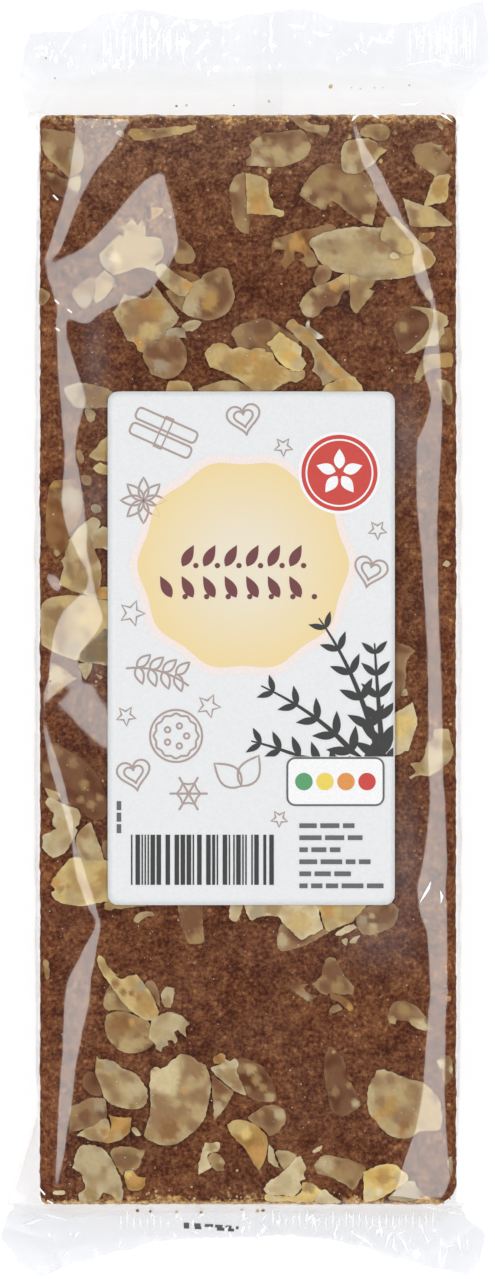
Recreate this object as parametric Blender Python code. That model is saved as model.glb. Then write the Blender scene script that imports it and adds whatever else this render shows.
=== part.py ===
# A speculaas bar with almond flakes on top, sealed in a clear film pack with a paper label.
# It lies flat. +Y runs along the bar to the end with the wide fin, +Z is up, and the
# origin is under the middle of the pack. Lengths are in metres, angles in degrees.

import math

import bmesh
import bpy
from mathutils import Vector, noise

MM = 0.001

# The baked bar
BAR_WIDTH = 82.8 * MM
BAR_LENGTH = 217.4 * MM
BAR_HEIGHT = 16.0 * MM
BAR_X = 0.5 * MM
BAR_Y = -4.1 * MM
EDGE_ROUNDING = 2.2 * MM
ROUNDING_MIDDLE = 0.3
EDGE_DROP = 1.3 * MM
CRUST_SWELL = 0.25 * MM
CRUST_SWELL_LENGTH = 14 * MM

# The paper label
LABEL_WIDTH = 57.3 * MM
LABEL_LENGTH = 102.5 * MM
LABEL_X = 1.15 * MM
LABEL_Y = -1.85 * MM
LABEL_THICKNESS = 0.25 * MM
LABEL_CORNER = 2.0 * MM
LABEL_GAP = 0.3 * MM

# The film, which the flakes and the label hold a little above the crust
SHELF_RISE = 1.1 * MM
SHELF_SLOPE = 1.6 * MM
SIDE_SLACK = 1.3 * MM
SIDE_LEVELS = 4
FIN_THICKNESS = 0.9 * MM
FIN_HEIGHT = 7.6 * MM
FIN_WAVE = 1.1 * MM
FIN_WAVE_LENGTH = 27 * MM
FIN_CRINKLE = 0.5
FIN_CRINKLE_LENGTH = 8 * MM
SEAL_CLOSING = 1.5
GRID_PITCH = 6.0 * MM
FLAT_ANGLE = 0.2

# Each fin: the edge of its tip from left to right, how far its two sides stick out on the
# way there, the share of its length where the seal starts, and how far its tip droops.
END_FIN = {
    "toward": 1,
    "tip": [(-43.2, 121.5), (-34, 121.8), (-27.5, 125.5), (-20.7, 126.0), (-11, 124.3),
            (-4.5, 123.9), (1.3, 125.2), (11.5, 126.2), (20.3, 123.8), (30, 123.2),
            (36, 123.7), (40, 125.9), (47.7, 127.8)],
    "left": [(0, -40.9), (0.12, -45.0), (0.45, -45.2), (0.75, -44.4), (1, -43.2)],
    "right": [(0, 41.9), (0.12, 44.6), (0.4, 48.9), (0.75, 48.6), (1, 47.7)],
    "seal": 0.45,
    "droop": 0.0,
    "corner_droop": 0.6 * MM,
}
FOOT_FIN = {
    "toward": -1,
    "tip": [(-41.7, -127.8), (-33, -124.9), (-25, -122.8), (-17.7, -120.9), (-10.5, -120.4),
            (1, -120.2), (7, -119.7), (16, -120.4), (23, -121.9), (30, -124.2),
            (38.5, -126.2), (44.9, -127.5)],
    "left": [(0, -40.9), (0.15, -47.8), (0.45, -48.9), (0.75, -46.0), (1, -41.7)],
    "right": [(0, 41.9), (0.15, 44.0), (0.45, 48.0), (0.75, 47.2), (1, 44.9)],
    "seal": 0.30,
    "droop": 6.0 * MM,
    "corner_droop": 2.6 * MM,
}
FIN_ROWS = (0.12, 0.26, 0.42, 0.6, 0.8, 1.0)

# How far the folded film stands out beside the bar, at half its height, near each corner
CORNER_EARS = [
    {"side": -1, "toward": -1, "out": 6.4 * MM, "run": 18 * MM},
    {"side": 1, "toward": -1, "out": 1.6 * MM, "run": 4 * MM},
    {"side": -1, "toward": 1, "out": 2.6 * MM, "run": 4 * MM},
    {"side": 1, "toward": 1, "out": 1.4 * MM, "run": 4 * MM},
]

# Almond flakes that show from a step away, in millimetres. A flake is an oval slice:
# centre x, y, length, width and turn. "breaks" are straight broken edges, each a direction
# and its distance from the centre, and "bites" are round ones, with a radius as well.
FLAKES = [
    {"at": (-36.7, 97.4), "size": (11.0, 8.8), "turn": 80, "breaks": [(90, 4.2), (229, 3.1)]},
    {"at": (-16.7, 101.0), "size": (15.0, 3.0), "turn": 6, "breaks": [(0, 7.0), (205, 6.6)]},
    {"at": (-22.9, 77.0), "size": (13.6, 8.6), "turn": -5, "breaks": [(130, 4.1)],
     "bites": [(268, 6.6, 3.6)]},
    {"at": (-28.1, 70.4), "size": (7.4, 3.4), "turn": 62},
    {"at": (-32.3, 69.2), "size": (6.6, 4.4), "turn": 62, "breaks": [(0, 1.9)]},
    {"at": (-19.9, 63.8), "size": (16.0, 15.6), "turn": 0,
     "breaks": [(36, 5.7), (-25, 6.0), (212, 4.8), (266, 6.4), (146, 6.3)],
     "bites": [(99, 6.6, 2.4)]},
    {"at": (-13.9, 71.8), "size": (9.5, 4.2), "turn": -32},
    {"at": (-6.7, 68.4), "size": (11.4, 10.2), "turn": -60, "breaks": [(185, 4.6)]},
    {"at": (1.7, 54.2), "size": (21.0, 8.0), "turn": -13, "breaks": [(88, 3.6)]},
    {"at": (6.7, 98.0), "size": (13.6, 8.2), "turn": 8},
    {"at": (12.7, 102.4), "size": (8.6, 2.6), "turn": -22},
    {"at": (23.1, 96.6), "size": (9.6, 7.8), "turn": 15, "breaks": [(80, 2.0), (-40, 2.6)]},
    {"at": (26.1, 101.4), "size": (6.4, 4.2), "turn": -8},
    {"at": (19.9, 89.8), "size": (15.6, 13.6), "turn": -30, "breaks": [(248, 4.6)],
     "bites": [(250, 5.4, 2.6)]},
    {"at": (37.1, 95.6), "size": (8.8, 7.0), "turn": -35, "breaks": [(80, 3.0)]},
    {"at": (38.3, 89.6), "size": (7.6, 4.2), "turn": 68, "breaks": [(90, 3.2), (245, 3.0)]},
    {"at": (35.3, 84.4), "size": (13.6, 9.0), "turn": -27,
     "breaks": [(59, 1.2), (196, 2.7), (268, 2.2)]},
    {"at": (30.3, 81.0), "size": (8.6, 6.0), "turn": -50, "breaks": [(20, 2.2)]},
    {"at": (25.3, 77.0), "size": (25.4, 10.8), "turn": -4, "breaks": [(172, 12.2)]},
    {"at": (11.3, 78.6), "size": (13.0, 6.6), "turn": 14, "breaks": [(262, 2.8)]},
    {"at": (-1.5, 87.0), "size": (12.2, 3.8), "turn": 82},
    {"at": (2.7, 88.8), "size": (8.8, 7.0), "turn": 80, "breaks": [(0, 2.8), (270, 4.1)]},
    {"at": (15.9, 68.4), "size": (11.6, 5.6), "turn": 32},
    {"at": (22.3, 68.4), "size": (9.4, 4.6), "turn": 62, "breaks": [(90, 4.2)]},
    {"at": (8.3, 57.4), "size": (9.6, 6.4), "turn": -48, "breaks": [(45, 2.6)]},
    {"at": (15.9, 56.8), "size": (19.5, 6.4), "turn": -43},
    {"at": (35.5, 61.6), "size": (12.6, 9.6), "turn": -10},
    {"at": (37.5, 54.0), "size": (8.8, 5.6), "turn": 25, "breaks": [(85, 2.6)]},
    {"at": (-36.3, 26.2), "size": (16.5, 8.0), "turn": 80},
    {"at": (-31.9, 21.4), "size": (7.6, 4.4), "turn": 32},
    {"at": (-32.7, 14.8), "size": (10.4, 7.0), "turn": -65},
    {"at": (-32.7, 1.6), "size": (18.0, 13.0), "turn": -25},
    {"at": (-36.7, -8.6), "size": (7.8, 5.0), "turn": 50},
    {"at": (-33.5, -28.6), "size": (17.5, 12.6), "turn": -60},
    {"at": (-36.7, -37.8), "size": (12.6, 7.4), "turn": 78, "bites": [(185, 4.0, 2.8)]},
    {"at": (-31.1, -40.4), "size": (9.0, 5.6), "turn": -72, "breaks": [(-20, 2.4)]},
    {"at": (-32.3, -48.4), "size": (16.5, 9.6), "turn": -5},
    {"at": (38.1, -22.2), "size": (9.4, 6.2), "turn": 20, "breaks": [(-30, 2.8)]},
    {"at": (-10.9, -58.6), "size": (8.4, 4.8), "turn": -78, "breaks": [(275, 3.2)]},
    {"at": (9.5, -58.2), "size": (13.6, 5.4), "turn": 12, "bites": [(230, 4.2, 2.4)]},
    {"at": (-22.9, -70.0), "size": (17.4, 5.2), "turn": -52},
    {"at": (-23.1, -77.8), "size": (10.4, 8.4), "turn": -20},
    {"at": (-15.5, -78.0), "size": (8.6, 7.6), "turn": -50, "breaks": [(-45, 3.0)]},
    {"at": (15.9, -69.2), "size": (12.0, 9.0), "turn": 75,
     "breaks": [(40, 3.2), (-90, 3.0), (150, 3.2)]},
    {"at": (32.5, -75.4), "size": (9.4, 6.0), "turn": -25, "bites": [(240, 3.6, 2.6)]},
    {"at": (-24.9, -88.8), "size": (13.2, 8.0), "turn": -42},
    {"at": (-13.1, -91.8), "size": (18.8, 13.0), "turn": 78, "breaks": [(135, 5.9)]},
    {"at": (-3.6, -87.4), "size": (9.0, 6.4), "turn": -40},
    {"at": (-4.9, -92.0), "size": (8.0, 4.4), "turn": 75},
    {"at": (-31.1, -95.8), "size": (8.4, 7.2), "turn": 40},
    {"at": (-25.1, -97.6), "size": (5.8, 4.4), "turn": 55, "breaks": [(90, 2.2)]},
    {"at": (-29.1, -105.8), "size": (11.2, 9.2), "turn": -70, "breaks": [(215, 3.6)]},
    {"at": (-23.3, -103.6), "size": (7.2, 5.0), "turn": -5, "breaks": [(90, 2.2)]},
    {"at": (0.9, -100.2), "size": (11.2, 6.0), "turn": -52},
    {"at": (4.5, -96.0), "size": (7.4, 5.0), "turn": 30},
    {"at": (7.6, -106.6), "size": (9.8, 5.6), "turn": 50},
    {"at": (18.7, -106.4), "size": (10.8, 4.8), "turn": -22},
    {"at": (27.9, -107.6), "size": (9.4, 6.4), "turn": 15, "breaks": [(180, 4.2), (90, 3.0)]},
    {"at": (31.9, -93.0), "size": (15.4, 13.0), "turn": -15, "breaks": [(100, 6.0)]},
    {"at": (19.5, -88.2), "size": (14.0, 6.6), "turn": -70},
]
FLAKE_SIDES = 14
FLAKE_DEPTH = 1.8 * MM
FLAKE_LIFTS = (0.40 * MM, 0.62 * MM, 0.84 * MM)
FLAKE_CUP = 0.35 * MM
SMALLEST_REACH = 0.8

MATERIALS = {
    "wrapped speculaas": {"color": (0.150, 0.062, 0.026), "roughness": 0.45, "metallic": 0.0},
    "label paper": {"color": (0.840, 0.850, 0.860), "roughness": 0.40, "metallic": 0.0},
}


def clear_scene():
    for thing in list(bpy.data.objects):
        bpy.data.objects.remove(thing, do_unlink=True)


def make_material(name):
    finish = MATERIALS[name]
    material = bpy.data.materials.new(name)
    material.use_nodes = True
    shader = material.node_tree.nodes["Principled BSDF"]
    shader.inputs["Base Color"].default_value = (*finish["color"], 1.0)
    shader.inputs["Roughness"].default_value = finish["roughness"]
    shader.inputs["Metallic"].default_value = finish["metallic"]
    return material


def add_object(name, mesh_edit, material=None):
    mesh = bpy.data.meshes.new(name)
    mesh_edit.to_mesh(mesh)
    mesh_edit.free()
    thing = bpy.data.objects.new(name, mesh)
    bpy.context.scene.collection.objects.link(thing)
    if material is not None:
        mesh.materials.append(material)
    return thing


def smooth(share):
    share = min(max(share, 0.0), 1.0)
    return share * share * (3 - 2 * share)


def blend(low, high, share):
    return low + (high - low) * share


def read_line(points, place):
    """The second value of a smooth line through points, where its first value is place."""
    place = min(max(place, points[0][0]), points[-1][0])
    for (start, first), (end, last) in zip(points, points[1:]):
        if place <= end:
            return blend(first, last, smooth((place - start) / (end - start)))
    return points[-1][1]


def grid_lines(stops, pitch):
    """Places from stop to stop, with even steps between two stops that lie far apart."""
    lines = [stops[0]]
    for start, end in zip(stops, stops[1:]):
        steps = max(1, round((end - start) / pitch))
        lines += [blend(start, end, step / steps) for step in range(1, steps + 1)]
    return lines


def stops_along(centre, length, label_centre, label_length):
    """Where the bar's rounding and the label's raised edge bend the film, on one axis."""
    low, high = centre - length / 2, centre + length / 2
    label_low = label_centre - label_length / 2
    label_high = label_centre + label_length / 2
    return [
        low, low + EDGE_ROUNDING * ROUNDING_MIDDLE, low + EDGE_ROUNDING,
        label_low - SHELF_SLOPE, label_low, label_high, label_high + SHELF_SLOPE,
        high - EDGE_ROUNDING, high - EDGE_ROUNDING * ROUNDING_MIDDLE, high,
    ]


def edge_drop(distance):
    """How far the rounded edge lies below the crust, by the distance from the side."""
    inside = min(max(distance / EDGE_ROUNDING, 0.0), 1.0)
    return EDGE_DROP * (1 - inside) ** 2


def label_shelf(x, y):
    """From 0 to 1: how far the film is raised to carry the label."""
    out_x = abs(x - LABEL_X) - LABEL_WIDTH / 2
    out_y = abs(y - LABEL_Y) - LABEL_LENGTH / 2
    return smooth(1 - max(out_x, out_y) / SHELF_SLOPE)


def crust_height(x, y):
    """The bar's own top: gently swollen, and rounded off towards its sides."""
    swell = CRUST_SWELL * noise.noise(Vector((x, y, 0.0)) / CRUST_SWELL_LENGTH)
    from_side = BAR_WIDTH / 2 - abs(x - BAR_X)
    from_end = BAR_LENGTH / 2 - abs(y - BAR_Y)
    return BAR_HEIGHT + swell - edge_drop(from_side) - edge_drop(from_end)


def top_height(x, y):
    return blend(crust_height(x, y), BAR_HEIGHT + SHELF_RISE, label_shelf(x, y))


def side_bulge(side, y, level):
    """How far the film stands out beside the bar, most at half the bar's height."""
    end_share = abs(y - BAR_Y) / (BAR_LENGTH / 2)
    slack = SIDE_SLACK * (1 - end_share ** 4)
    for ear in CORNER_EARS:
        if ear["side"] == side:
            from_corner = BAR_LENGTH / 2 - ear["toward"] * (y - BAR_Y)
            slack += ear["out"] * max(0.0, 1 - from_corner / ear["run"])
    return side * slack * (1 - (2 * level - 1) ** 2)


def bar_point(x, y, level):
    """A point of the film round the bar; level runs from 0 at the floor to 1 on top."""
    side = round((x - BAR_X) / (BAR_WIDTH / 2), 4)
    out = side_bulge(side, y, level) if abs(side) == 1 else 0.0
    return Vector((x + out, y, top_height(x, y) * level))


def fin_point(fin, x, share, level):
    """A point of the film beyond the bar; share runs from 0 at the bar to 1 at the tip."""
    across = (x - BAR_X) / BAR_WIDTH + 0.5
    left = read_line(fin["left"], share) * MM
    right = read_line(fin["right"], share) * MM
    tip_x = blend(fin["tip"][0][0], fin["tip"][-1][0], across)
    tip_y = read_line(fin["tip"], tip_x) * MM
    bar_end = BAR_Y + fin["toward"] * BAR_LENGTH / 2
    place = Vector((blend(left, right, across), blend(bar_end, tip_y, share), 0.0))

    open_share = max(0.0, 1 - share / fin["seal"]) ** SEAL_CLOSING
    wave = math.sin(place.x / FIN_WAVE_LENGTH * math.tau)
    wave += FIN_CRINKLE * noise.noise(place / FIN_CRINKLE_LENGTH)
    droop = blend(fin["droop"], fin["corner_droop"], abs(2 * across - 1) ** 2)
    middle = FIN_HEIGHT + (FIN_WAVE * wave - droop) * smooth(share)
    low = blend(middle - FIN_THICKNESS / 2, 0.0, open_share)
    high = blend(middle + FIN_THICKNESS / 2, BAR_HEIGHT - EDGE_DROP, open_share)
    place.z = max(blend(low, high, level), 0.0)
    return place


def make_wrap():
    """The closed film round the bar: a grid, lifted level by level, then set in place."""
    across = grid_lines(stops_along(BAR_X, BAR_WIDTH, LABEL_X, LABEL_WIDTH), GRID_PITCH)
    along = grid_lines(stops_along(BAR_Y, BAR_LENGTH, LABEL_Y, LABEL_LENGTH), GRID_PITCH)
    foot_rows = [(FOOT_FIN, share) for share in reversed(FIN_ROWS)]
    end_rows = [(END_FIN, share) for share in FIN_ROWS]
    rows = foot_rows + [(None, y) for y in along] + end_rows

    wrap = bmesh.new()
    bmesh.ops.create_grid(
        wrap, x_segments=len(across) - 1, y_segments=len(rows) - 1, size=0.5
    )
    raised = bmesh.ops.extrude_face_region(wrap, geom=wrap.faces[:], use_keep_orig=True)
    top = [item for item in raised["geom"] if isinstance(item, bmesh.types.BMVert)]
    bmesh.ops.translate(wrap, vec=(0, 0, 1), verts=top)
    upright = [edge for edge in wrap.edges if edge.verts[0].co.z != edge.verts[1].co.z]
    bmesh.ops.subdivide_edges(wrap, edges=upright, cuts=SIDE_LEVELS - 1)
    for vertex in wrap.verts:
        column = round((vertex.co.x + 0.5) * (len(across) - 1))
        row = round((vertex.co.y + 0.5) * (len(rows) - 1))
        level = vertex.co.z
        fin, place = rows[row]
        if fin is None:
            vertex.co = bar_point(across[column], place, level)
        else:
            vertex.co = fin_point(fin, across[column], place, level)
    bmesh.ops.recalc_face_normals(wrap, faces=wrap.faces)
    bmesh.ops.dissolve_limit(
        wrap, angle_limit=math.radians(FLAT_ANGLE), verts=wrap.verts, edges=wrap.edges
    )
    bmesh.ops.triangulate(wrap, faces=wrap.faces)
    return wrap


def flake_reach(flake, direction):
    """The distance in millimetres from a flake's centre to its edge, in one direction."""
    length, width = flake["size"]
    turned = direction - math.radians(flake["turn"])
    reach = length * width / 2 / math.hypot(width * math.cos(turned), length * math.sin(turned))
    for facing, distance in flake.get("breaks", []):
        toward = math.cos(direction - math.radians(facing))
        if toward > 0:
            reach = min(reach, distance / toward)
    for facing, distance, radius in flake.get("bites", []):
        off = direction - math.radians(facing)
        miss = distance * math.sin(off)
        if math.cos(off) > 0 and abs(miss) < radius:
            reach = min(reach, distance * math.cos(off) - math.sqrt(radius ** 2 - miss ** 2))
    return max(reach, SMALLEST_REACH)


def make_flake(number, flake):
    """A thin, slightly cupped slice that is sunk in the crust and stands a little proud."""
    length, width = flake["size"]
    centre = Vector((*flake["at"], 0.0)) * MM
    lift = FLAKE_LIFTS[number % len(FLAKE_LIFTS)]
    slice_edit = bmesh.new()
    bmesh.ops.create_circle(
        slice_edit, cap_ends=True, cap_tris=True, segments=FLAKE_SIDES, radius=1.0
    )
    for vertex in slice_edit.verts:
        rim = vertex.co.length > 0.5
        reach = 0.0
        direction = 0.0
        if rim:
            around = math.atan2(vertex.co.y, vertex.co.x)
            direction = math.atan2(width * math.sin(around), length * math.cos(around))
            direction += math.radians(flake["turn"])
            reach = flake_reach(flake, direction) * MM
        place = centre + Vector((math.cos(direction), math.sin(direction), 0.0)) * reach
        cup = FLAKE_CUP if rim and number % 2 else 0.0
        place.z = crust_height(place.x, place.y) + lift + cup
        vertex.co = place
    lower = bmesh.ops.extrude_face_region(slice_edit, geom=slice_edit.faces[:], use_keep_orig=True)
    for item in lower["geom"]:
        if isinstance(item, bmesh.types.BMVert):
            item.co.z -= FLAKE_DEPTH
    bmesh.ops.recalc_face_normals(slice_edit, faces=slice_edit.faces)
    return add_object(f"flake {number}", slice_edit)


def fuse(thing, pieces):
    """Joins the pieces to the thing by one union, then removes them."""
    group = bpy.data.collections.new("fused flakes")
    for piece in pieces:
        group.objects.link(piece)
    union = thing.modifiers.new("fuse flakes", "BOOLEAN")
    union.operation = "UNION"
    union.operand_type = "COLLECTION"
    union.collection = group
    graph = bpy.context.evaluated_depsgraph_get()
    fused = bpy.data.meshes.new_from_object(thing.evaluated_get(graph))
    thing.modifiers.clear()
    thing.data = fused
    for piece in pieces:
        bpy.data.objects.remove(piece, do_unlink=True)
    bpy.data.collections.remove(group)


def make_bag():
    bag = add_object("clear_bag", make_wrap(), make_material("wrapped speculaas"))
    flakes = [make_flake(number, flake) for number, flake in enumerate(FLAKES)]
    fuse(bag, flakes)
    return bag


def make_label():
    """A sheet of paper with round corners, just above the film's raised shelf."""
    label = bmesh.new()
    bmesh.ops.create_cube(label, size=1.0)
    bmesh.ops.scale(label, vec=(LABEL_WIDTH, LABEL_LENGTH, LABEL_THICKNESS), verts=label.verts)
    upright = [edge for edge in label.edges if abs(edge.verts[0].co.z - edge.verts[1].co.z) > 1e-6]
    bmesh.ops.bevel(
        label, geom=upright, offset=LABEL_CORNER, segments=5, profile=0.5, affect="EDGES"
    )
    middle = BAR_HEIGHT + SHELF_RISE + LABEL_GAP + LABEL_THICKNESS / 2
    bmesh.ops.translate(label, vec=(LABEL_X, LABEL_Y, middle), verts=label.verts)
    return add_object("label", label, make_material("label paper"))


clear_scene()
make_bag()
make_label()
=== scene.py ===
# A baked speculaas bar with almond flakes, sealed in clear film with a paper label.
# It lies flat: +X to the right across the bar, +Y along it, +Z up. Shapes are worked out in
# millimetres and become metres when a piece is added.

import math
import random

import bmesh
import bpy
import numpy as np
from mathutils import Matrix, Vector, noise


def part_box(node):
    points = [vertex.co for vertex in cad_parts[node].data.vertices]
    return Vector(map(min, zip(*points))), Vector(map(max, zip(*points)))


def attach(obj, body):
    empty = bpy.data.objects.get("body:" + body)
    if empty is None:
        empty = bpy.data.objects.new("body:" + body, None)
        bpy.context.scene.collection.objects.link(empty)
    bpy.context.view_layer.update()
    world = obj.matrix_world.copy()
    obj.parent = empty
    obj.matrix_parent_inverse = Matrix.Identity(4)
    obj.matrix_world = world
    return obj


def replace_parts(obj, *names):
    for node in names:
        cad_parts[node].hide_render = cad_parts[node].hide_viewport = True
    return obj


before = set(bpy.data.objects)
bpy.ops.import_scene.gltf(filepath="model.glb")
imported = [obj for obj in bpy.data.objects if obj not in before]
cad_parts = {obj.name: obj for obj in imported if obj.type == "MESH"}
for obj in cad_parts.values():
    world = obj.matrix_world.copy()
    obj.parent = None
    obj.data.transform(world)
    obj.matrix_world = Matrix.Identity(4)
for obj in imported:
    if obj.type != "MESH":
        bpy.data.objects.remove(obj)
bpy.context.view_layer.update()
mm = 0.001


# Helpers for colours, nodes and pieces

def srgb(hexColor):
    channels = [int(hexColor[start:start + 2], 16) / 255 for start in (0, 2, 4)]
    linear = [c / 12.92 if c <= 0.04045 else ((c + 0.055) / 1.055) ** 2.4 for c in channels]
    return (*linear, 1.0)


def addNode(tree, kind, values=None, links=None, ramp=(), **settings):
    node = tree.nodes.new("ShaderNode" + kind)
    for name, value in settings.items():
        setattr(node, name, value)
    for socket, value in (values or {}).items():
        node.inputs[socket].default_value = value
    for socket, source in (links or {}).items():
        if isinstance(source, bpy.types.Node):      # a node stands for its first output
            source = source.outputs[0]
        tree.links.new(source, node.inputs[socket])
    for number, (place, hexColor) in enumerate(ramp):
        stops = node.color_ramp.elements
        stop = stops[number] if number < 2 else stops.new(place)
        stop.position = place
        stop.color = srgb(hexColor)
    return node


def newMaterial(name):
    material = bpy.data.materials.new(name)
    material.use_nodes = True
    tree = material.node_tree
    tree.nodes.clear()
    output = addNode(tree, "OutputMaterial")
    place = addNode(tree, "TexCoord").outputs["Object"]
    return material, tree, output.inputs["Surface"], place


def addObject(name, data):
    made = bpy.data.objects.new(name, data)
    bpy.context.scene.collection.objects.link(made)
    return made


def flatGrid(item, height):
    # A level grid as large as a piece, from the piece's settings.
    bm = bmesh.new()
    bmesh.ops.create_grid(bm, x_segments=round(item["width"] / item["pitch"]),
                          y_segments=round(item["length"] / item["pitch"]), size=0.5)
    bmesh.ops.scale(bm, vec=(item["width"], item["length"], 1), verts=bm.verts)
    bmesh.ops.translate(bm, vec=(*item["centre"], height), verts=bm.verts)
    return bm


def addUnderside(bm, depth):
    under = bmesh.ops.extrude_face_region(bm, geom=bm.faces[:], use_keep_orig=True)["geom"]
    lower = [item for item in under if isinstance(item, bmesh.types.BMVert)]
    bmesh.ops.translate(bm, vec=(0, 0, -depth), verts=lower)


def faceUp(bm):
    bmesh.ops.reverse_faces(bm, faces=[face for face in bm.faces if face.normal.z < 0])


def addPiece(name, bm, material, evenShading=True, crisp=0):
    bmesh.ops.scale(bm, vec=(mm, mm, mm), verts=bm.verts)
    mesh = bpy.data.meshes.new(name)
    bm.to_mesh(mesh)
    bm.free()
    mesh.materials.append(material)
    mesh.polygons.foreach_set("use_smooth", [evenShading] * len(mesh.polygons))
    if crisp:
        mesh.set_sharp_from_angle(angle=math.radians(crisp))
    piece = addObject(name, mesh)
    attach(piece, "root")
    triangles = sum(len(face.vertices) - 2 for face in mesh.polygons)
    print(f"{name}: {triangles} triangles")
    return piece


def smooth(share):
    share = min(max(share, 0.0), 1.0)
    return share * share * (3 - 2 * share)


def mix(low, high, share):
    return low + (high - low) * share


def readLine(points, place):
    place = min(max(place, points[0][0]), points[-1][0])
    for (start, first), (end, last) in zip(points, points[1:]):
        if place <= end:
            return mix(first, last, smooth((place - start) / (end - start)))
    return points[-1][1]


# The paper label's place, from the frame

labelLow, labelHigh = [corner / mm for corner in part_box("label")]
label = {
    "centre": ((labelLow.x + labelHigh.x) / 2, (labelLow.y + labelHigh.y) / 2),
    "width": labelHigh.x - labelLow.x, "length": labelHigh.y - labelLow.y,
    "corner": 2.0, "pitch": 1.4, "thickness": 0.14, "wave": 0.09, "waveLength": 26,
    "printStep": 0.03, "cutPitch": 6.0, "hair": 0.0004,
}


# The baked bar

bar = {
    "centre": (0.5, -4.1), "width": 82.8, "length": 217.4, "top": 16.0, "bottom": 0.5,
    "corner": 1.5, "wornCorner": 4.2, "edgeRounding": 2.2, "edgeDrop": 1.3,
    "swell": 0.25, "swellLength": 14, "pitch": 0.52, "sideLevels": 18,
    "crumbSizes": ((3.1, 0.16), (1.35, 0.17)),
    "edgeCrumbSizes": ((4.2, 0.32), (1.3, 0.26)), "edgeReach": 2.5,
}


def edgeDrop(distance):
    inside = min(max(distance / bar["edgeRounding"], 0.0), 1.0)
    return bar["edgeDrop"] * (1 - inside) ** 2


def fromSides(x, y):
    return (bar["width"] / 2 - abs(x - bar["centre"][0]),
            bar["length"] / 2 - abs(y - bar["centre"][1]))


def crustHeight(x, y):
    swell = bar["swell"] * noise.noise(Vector((x, y, 0)) / bar["swellLength"])
    fromSide, fromEnd = fromSides(x, y)
    return bar["top"] + swell - edgeDrop(fromSide) - edgeDrop(fromEnd)


def roundPlan(x, y, centre, width, length, radius):
    outX = max(abs(x - centre[0]) - (width / 2 - radius), 0.0)
    outY = max(abs(y - centre[1]) - (length / 2 - radius), 0.0)
    if outX == 0 or outY == 0:
        return x, y
    share = 1 - max(outX, outY) / math.hypot(outX, outY)
    return (x - math.copysign(outX * share, x - centre[0]),
            y - math.copysign(outY * share, y - centre[1]))


def layeredNoise(place, sizes):
    return sum(depth * noise.noise(place / size) for size, depth in sizes)


def crustPoint(x, y, level):
    worn = x > bar["centre"][0] and y < bar["centre"][1]
    corner = bar["wornCorner"] if worn else bar["corner"]
    x, y = roundPlan(x, y, bar["centre"], bar["width"], bar["length"], corner)
    z = mix(bar["bottom"], crustHeight(x, y), level)
    place = Vector((x, y, z))
    fromSide, fromEnd = fromSides(x, y)
    edge = layeredNoise(place, bar["edgeCrumbSizes"])
    outX = math.copysign(smooth(1 - fromSide / bar["edgeReach"]) * edge, x - bar["centre"][0])
    outY = math.copysign(smooth(1 - fromEnd / bar["edgeReach"]) * edge, y - bar["centre"][1])
    up = layeredNoise(place, bar["crumbSizes"]) * level ** 4
    return place + Vector((outX, outY, up))


def makeBar(material):
    bm = flatGrid(bar, 1)
    rim = [edge for edge in bm.edges if edge.is_boundary]
    for level in range(bar["sideLevels"]):
        wall = bmesh.ops.extrude_edge_only(bm, edges=rim)["geom"]
        lower = [item for item in wall if isinstance(item, bmesh.types.BMVert)]
        bmesh.ops.translate(bm, vec=(0, 0, -1 / bar["sideLevels"]), verts=lower)
        rim = [item for item in wall if isinstance(item, bmesh.types.BMEdge) and item.is_boundary]
    bmesh.ops.contextual_create(bm, geom=rim)
    for vertex in bm.verts:
        vertex.co = crustPoint(*vertex.co)
    bmesh.ops.recalc_face_normals(bm, faces=bm.faces)
    return addPiece("speculaas_bar", bm, material)


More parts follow.
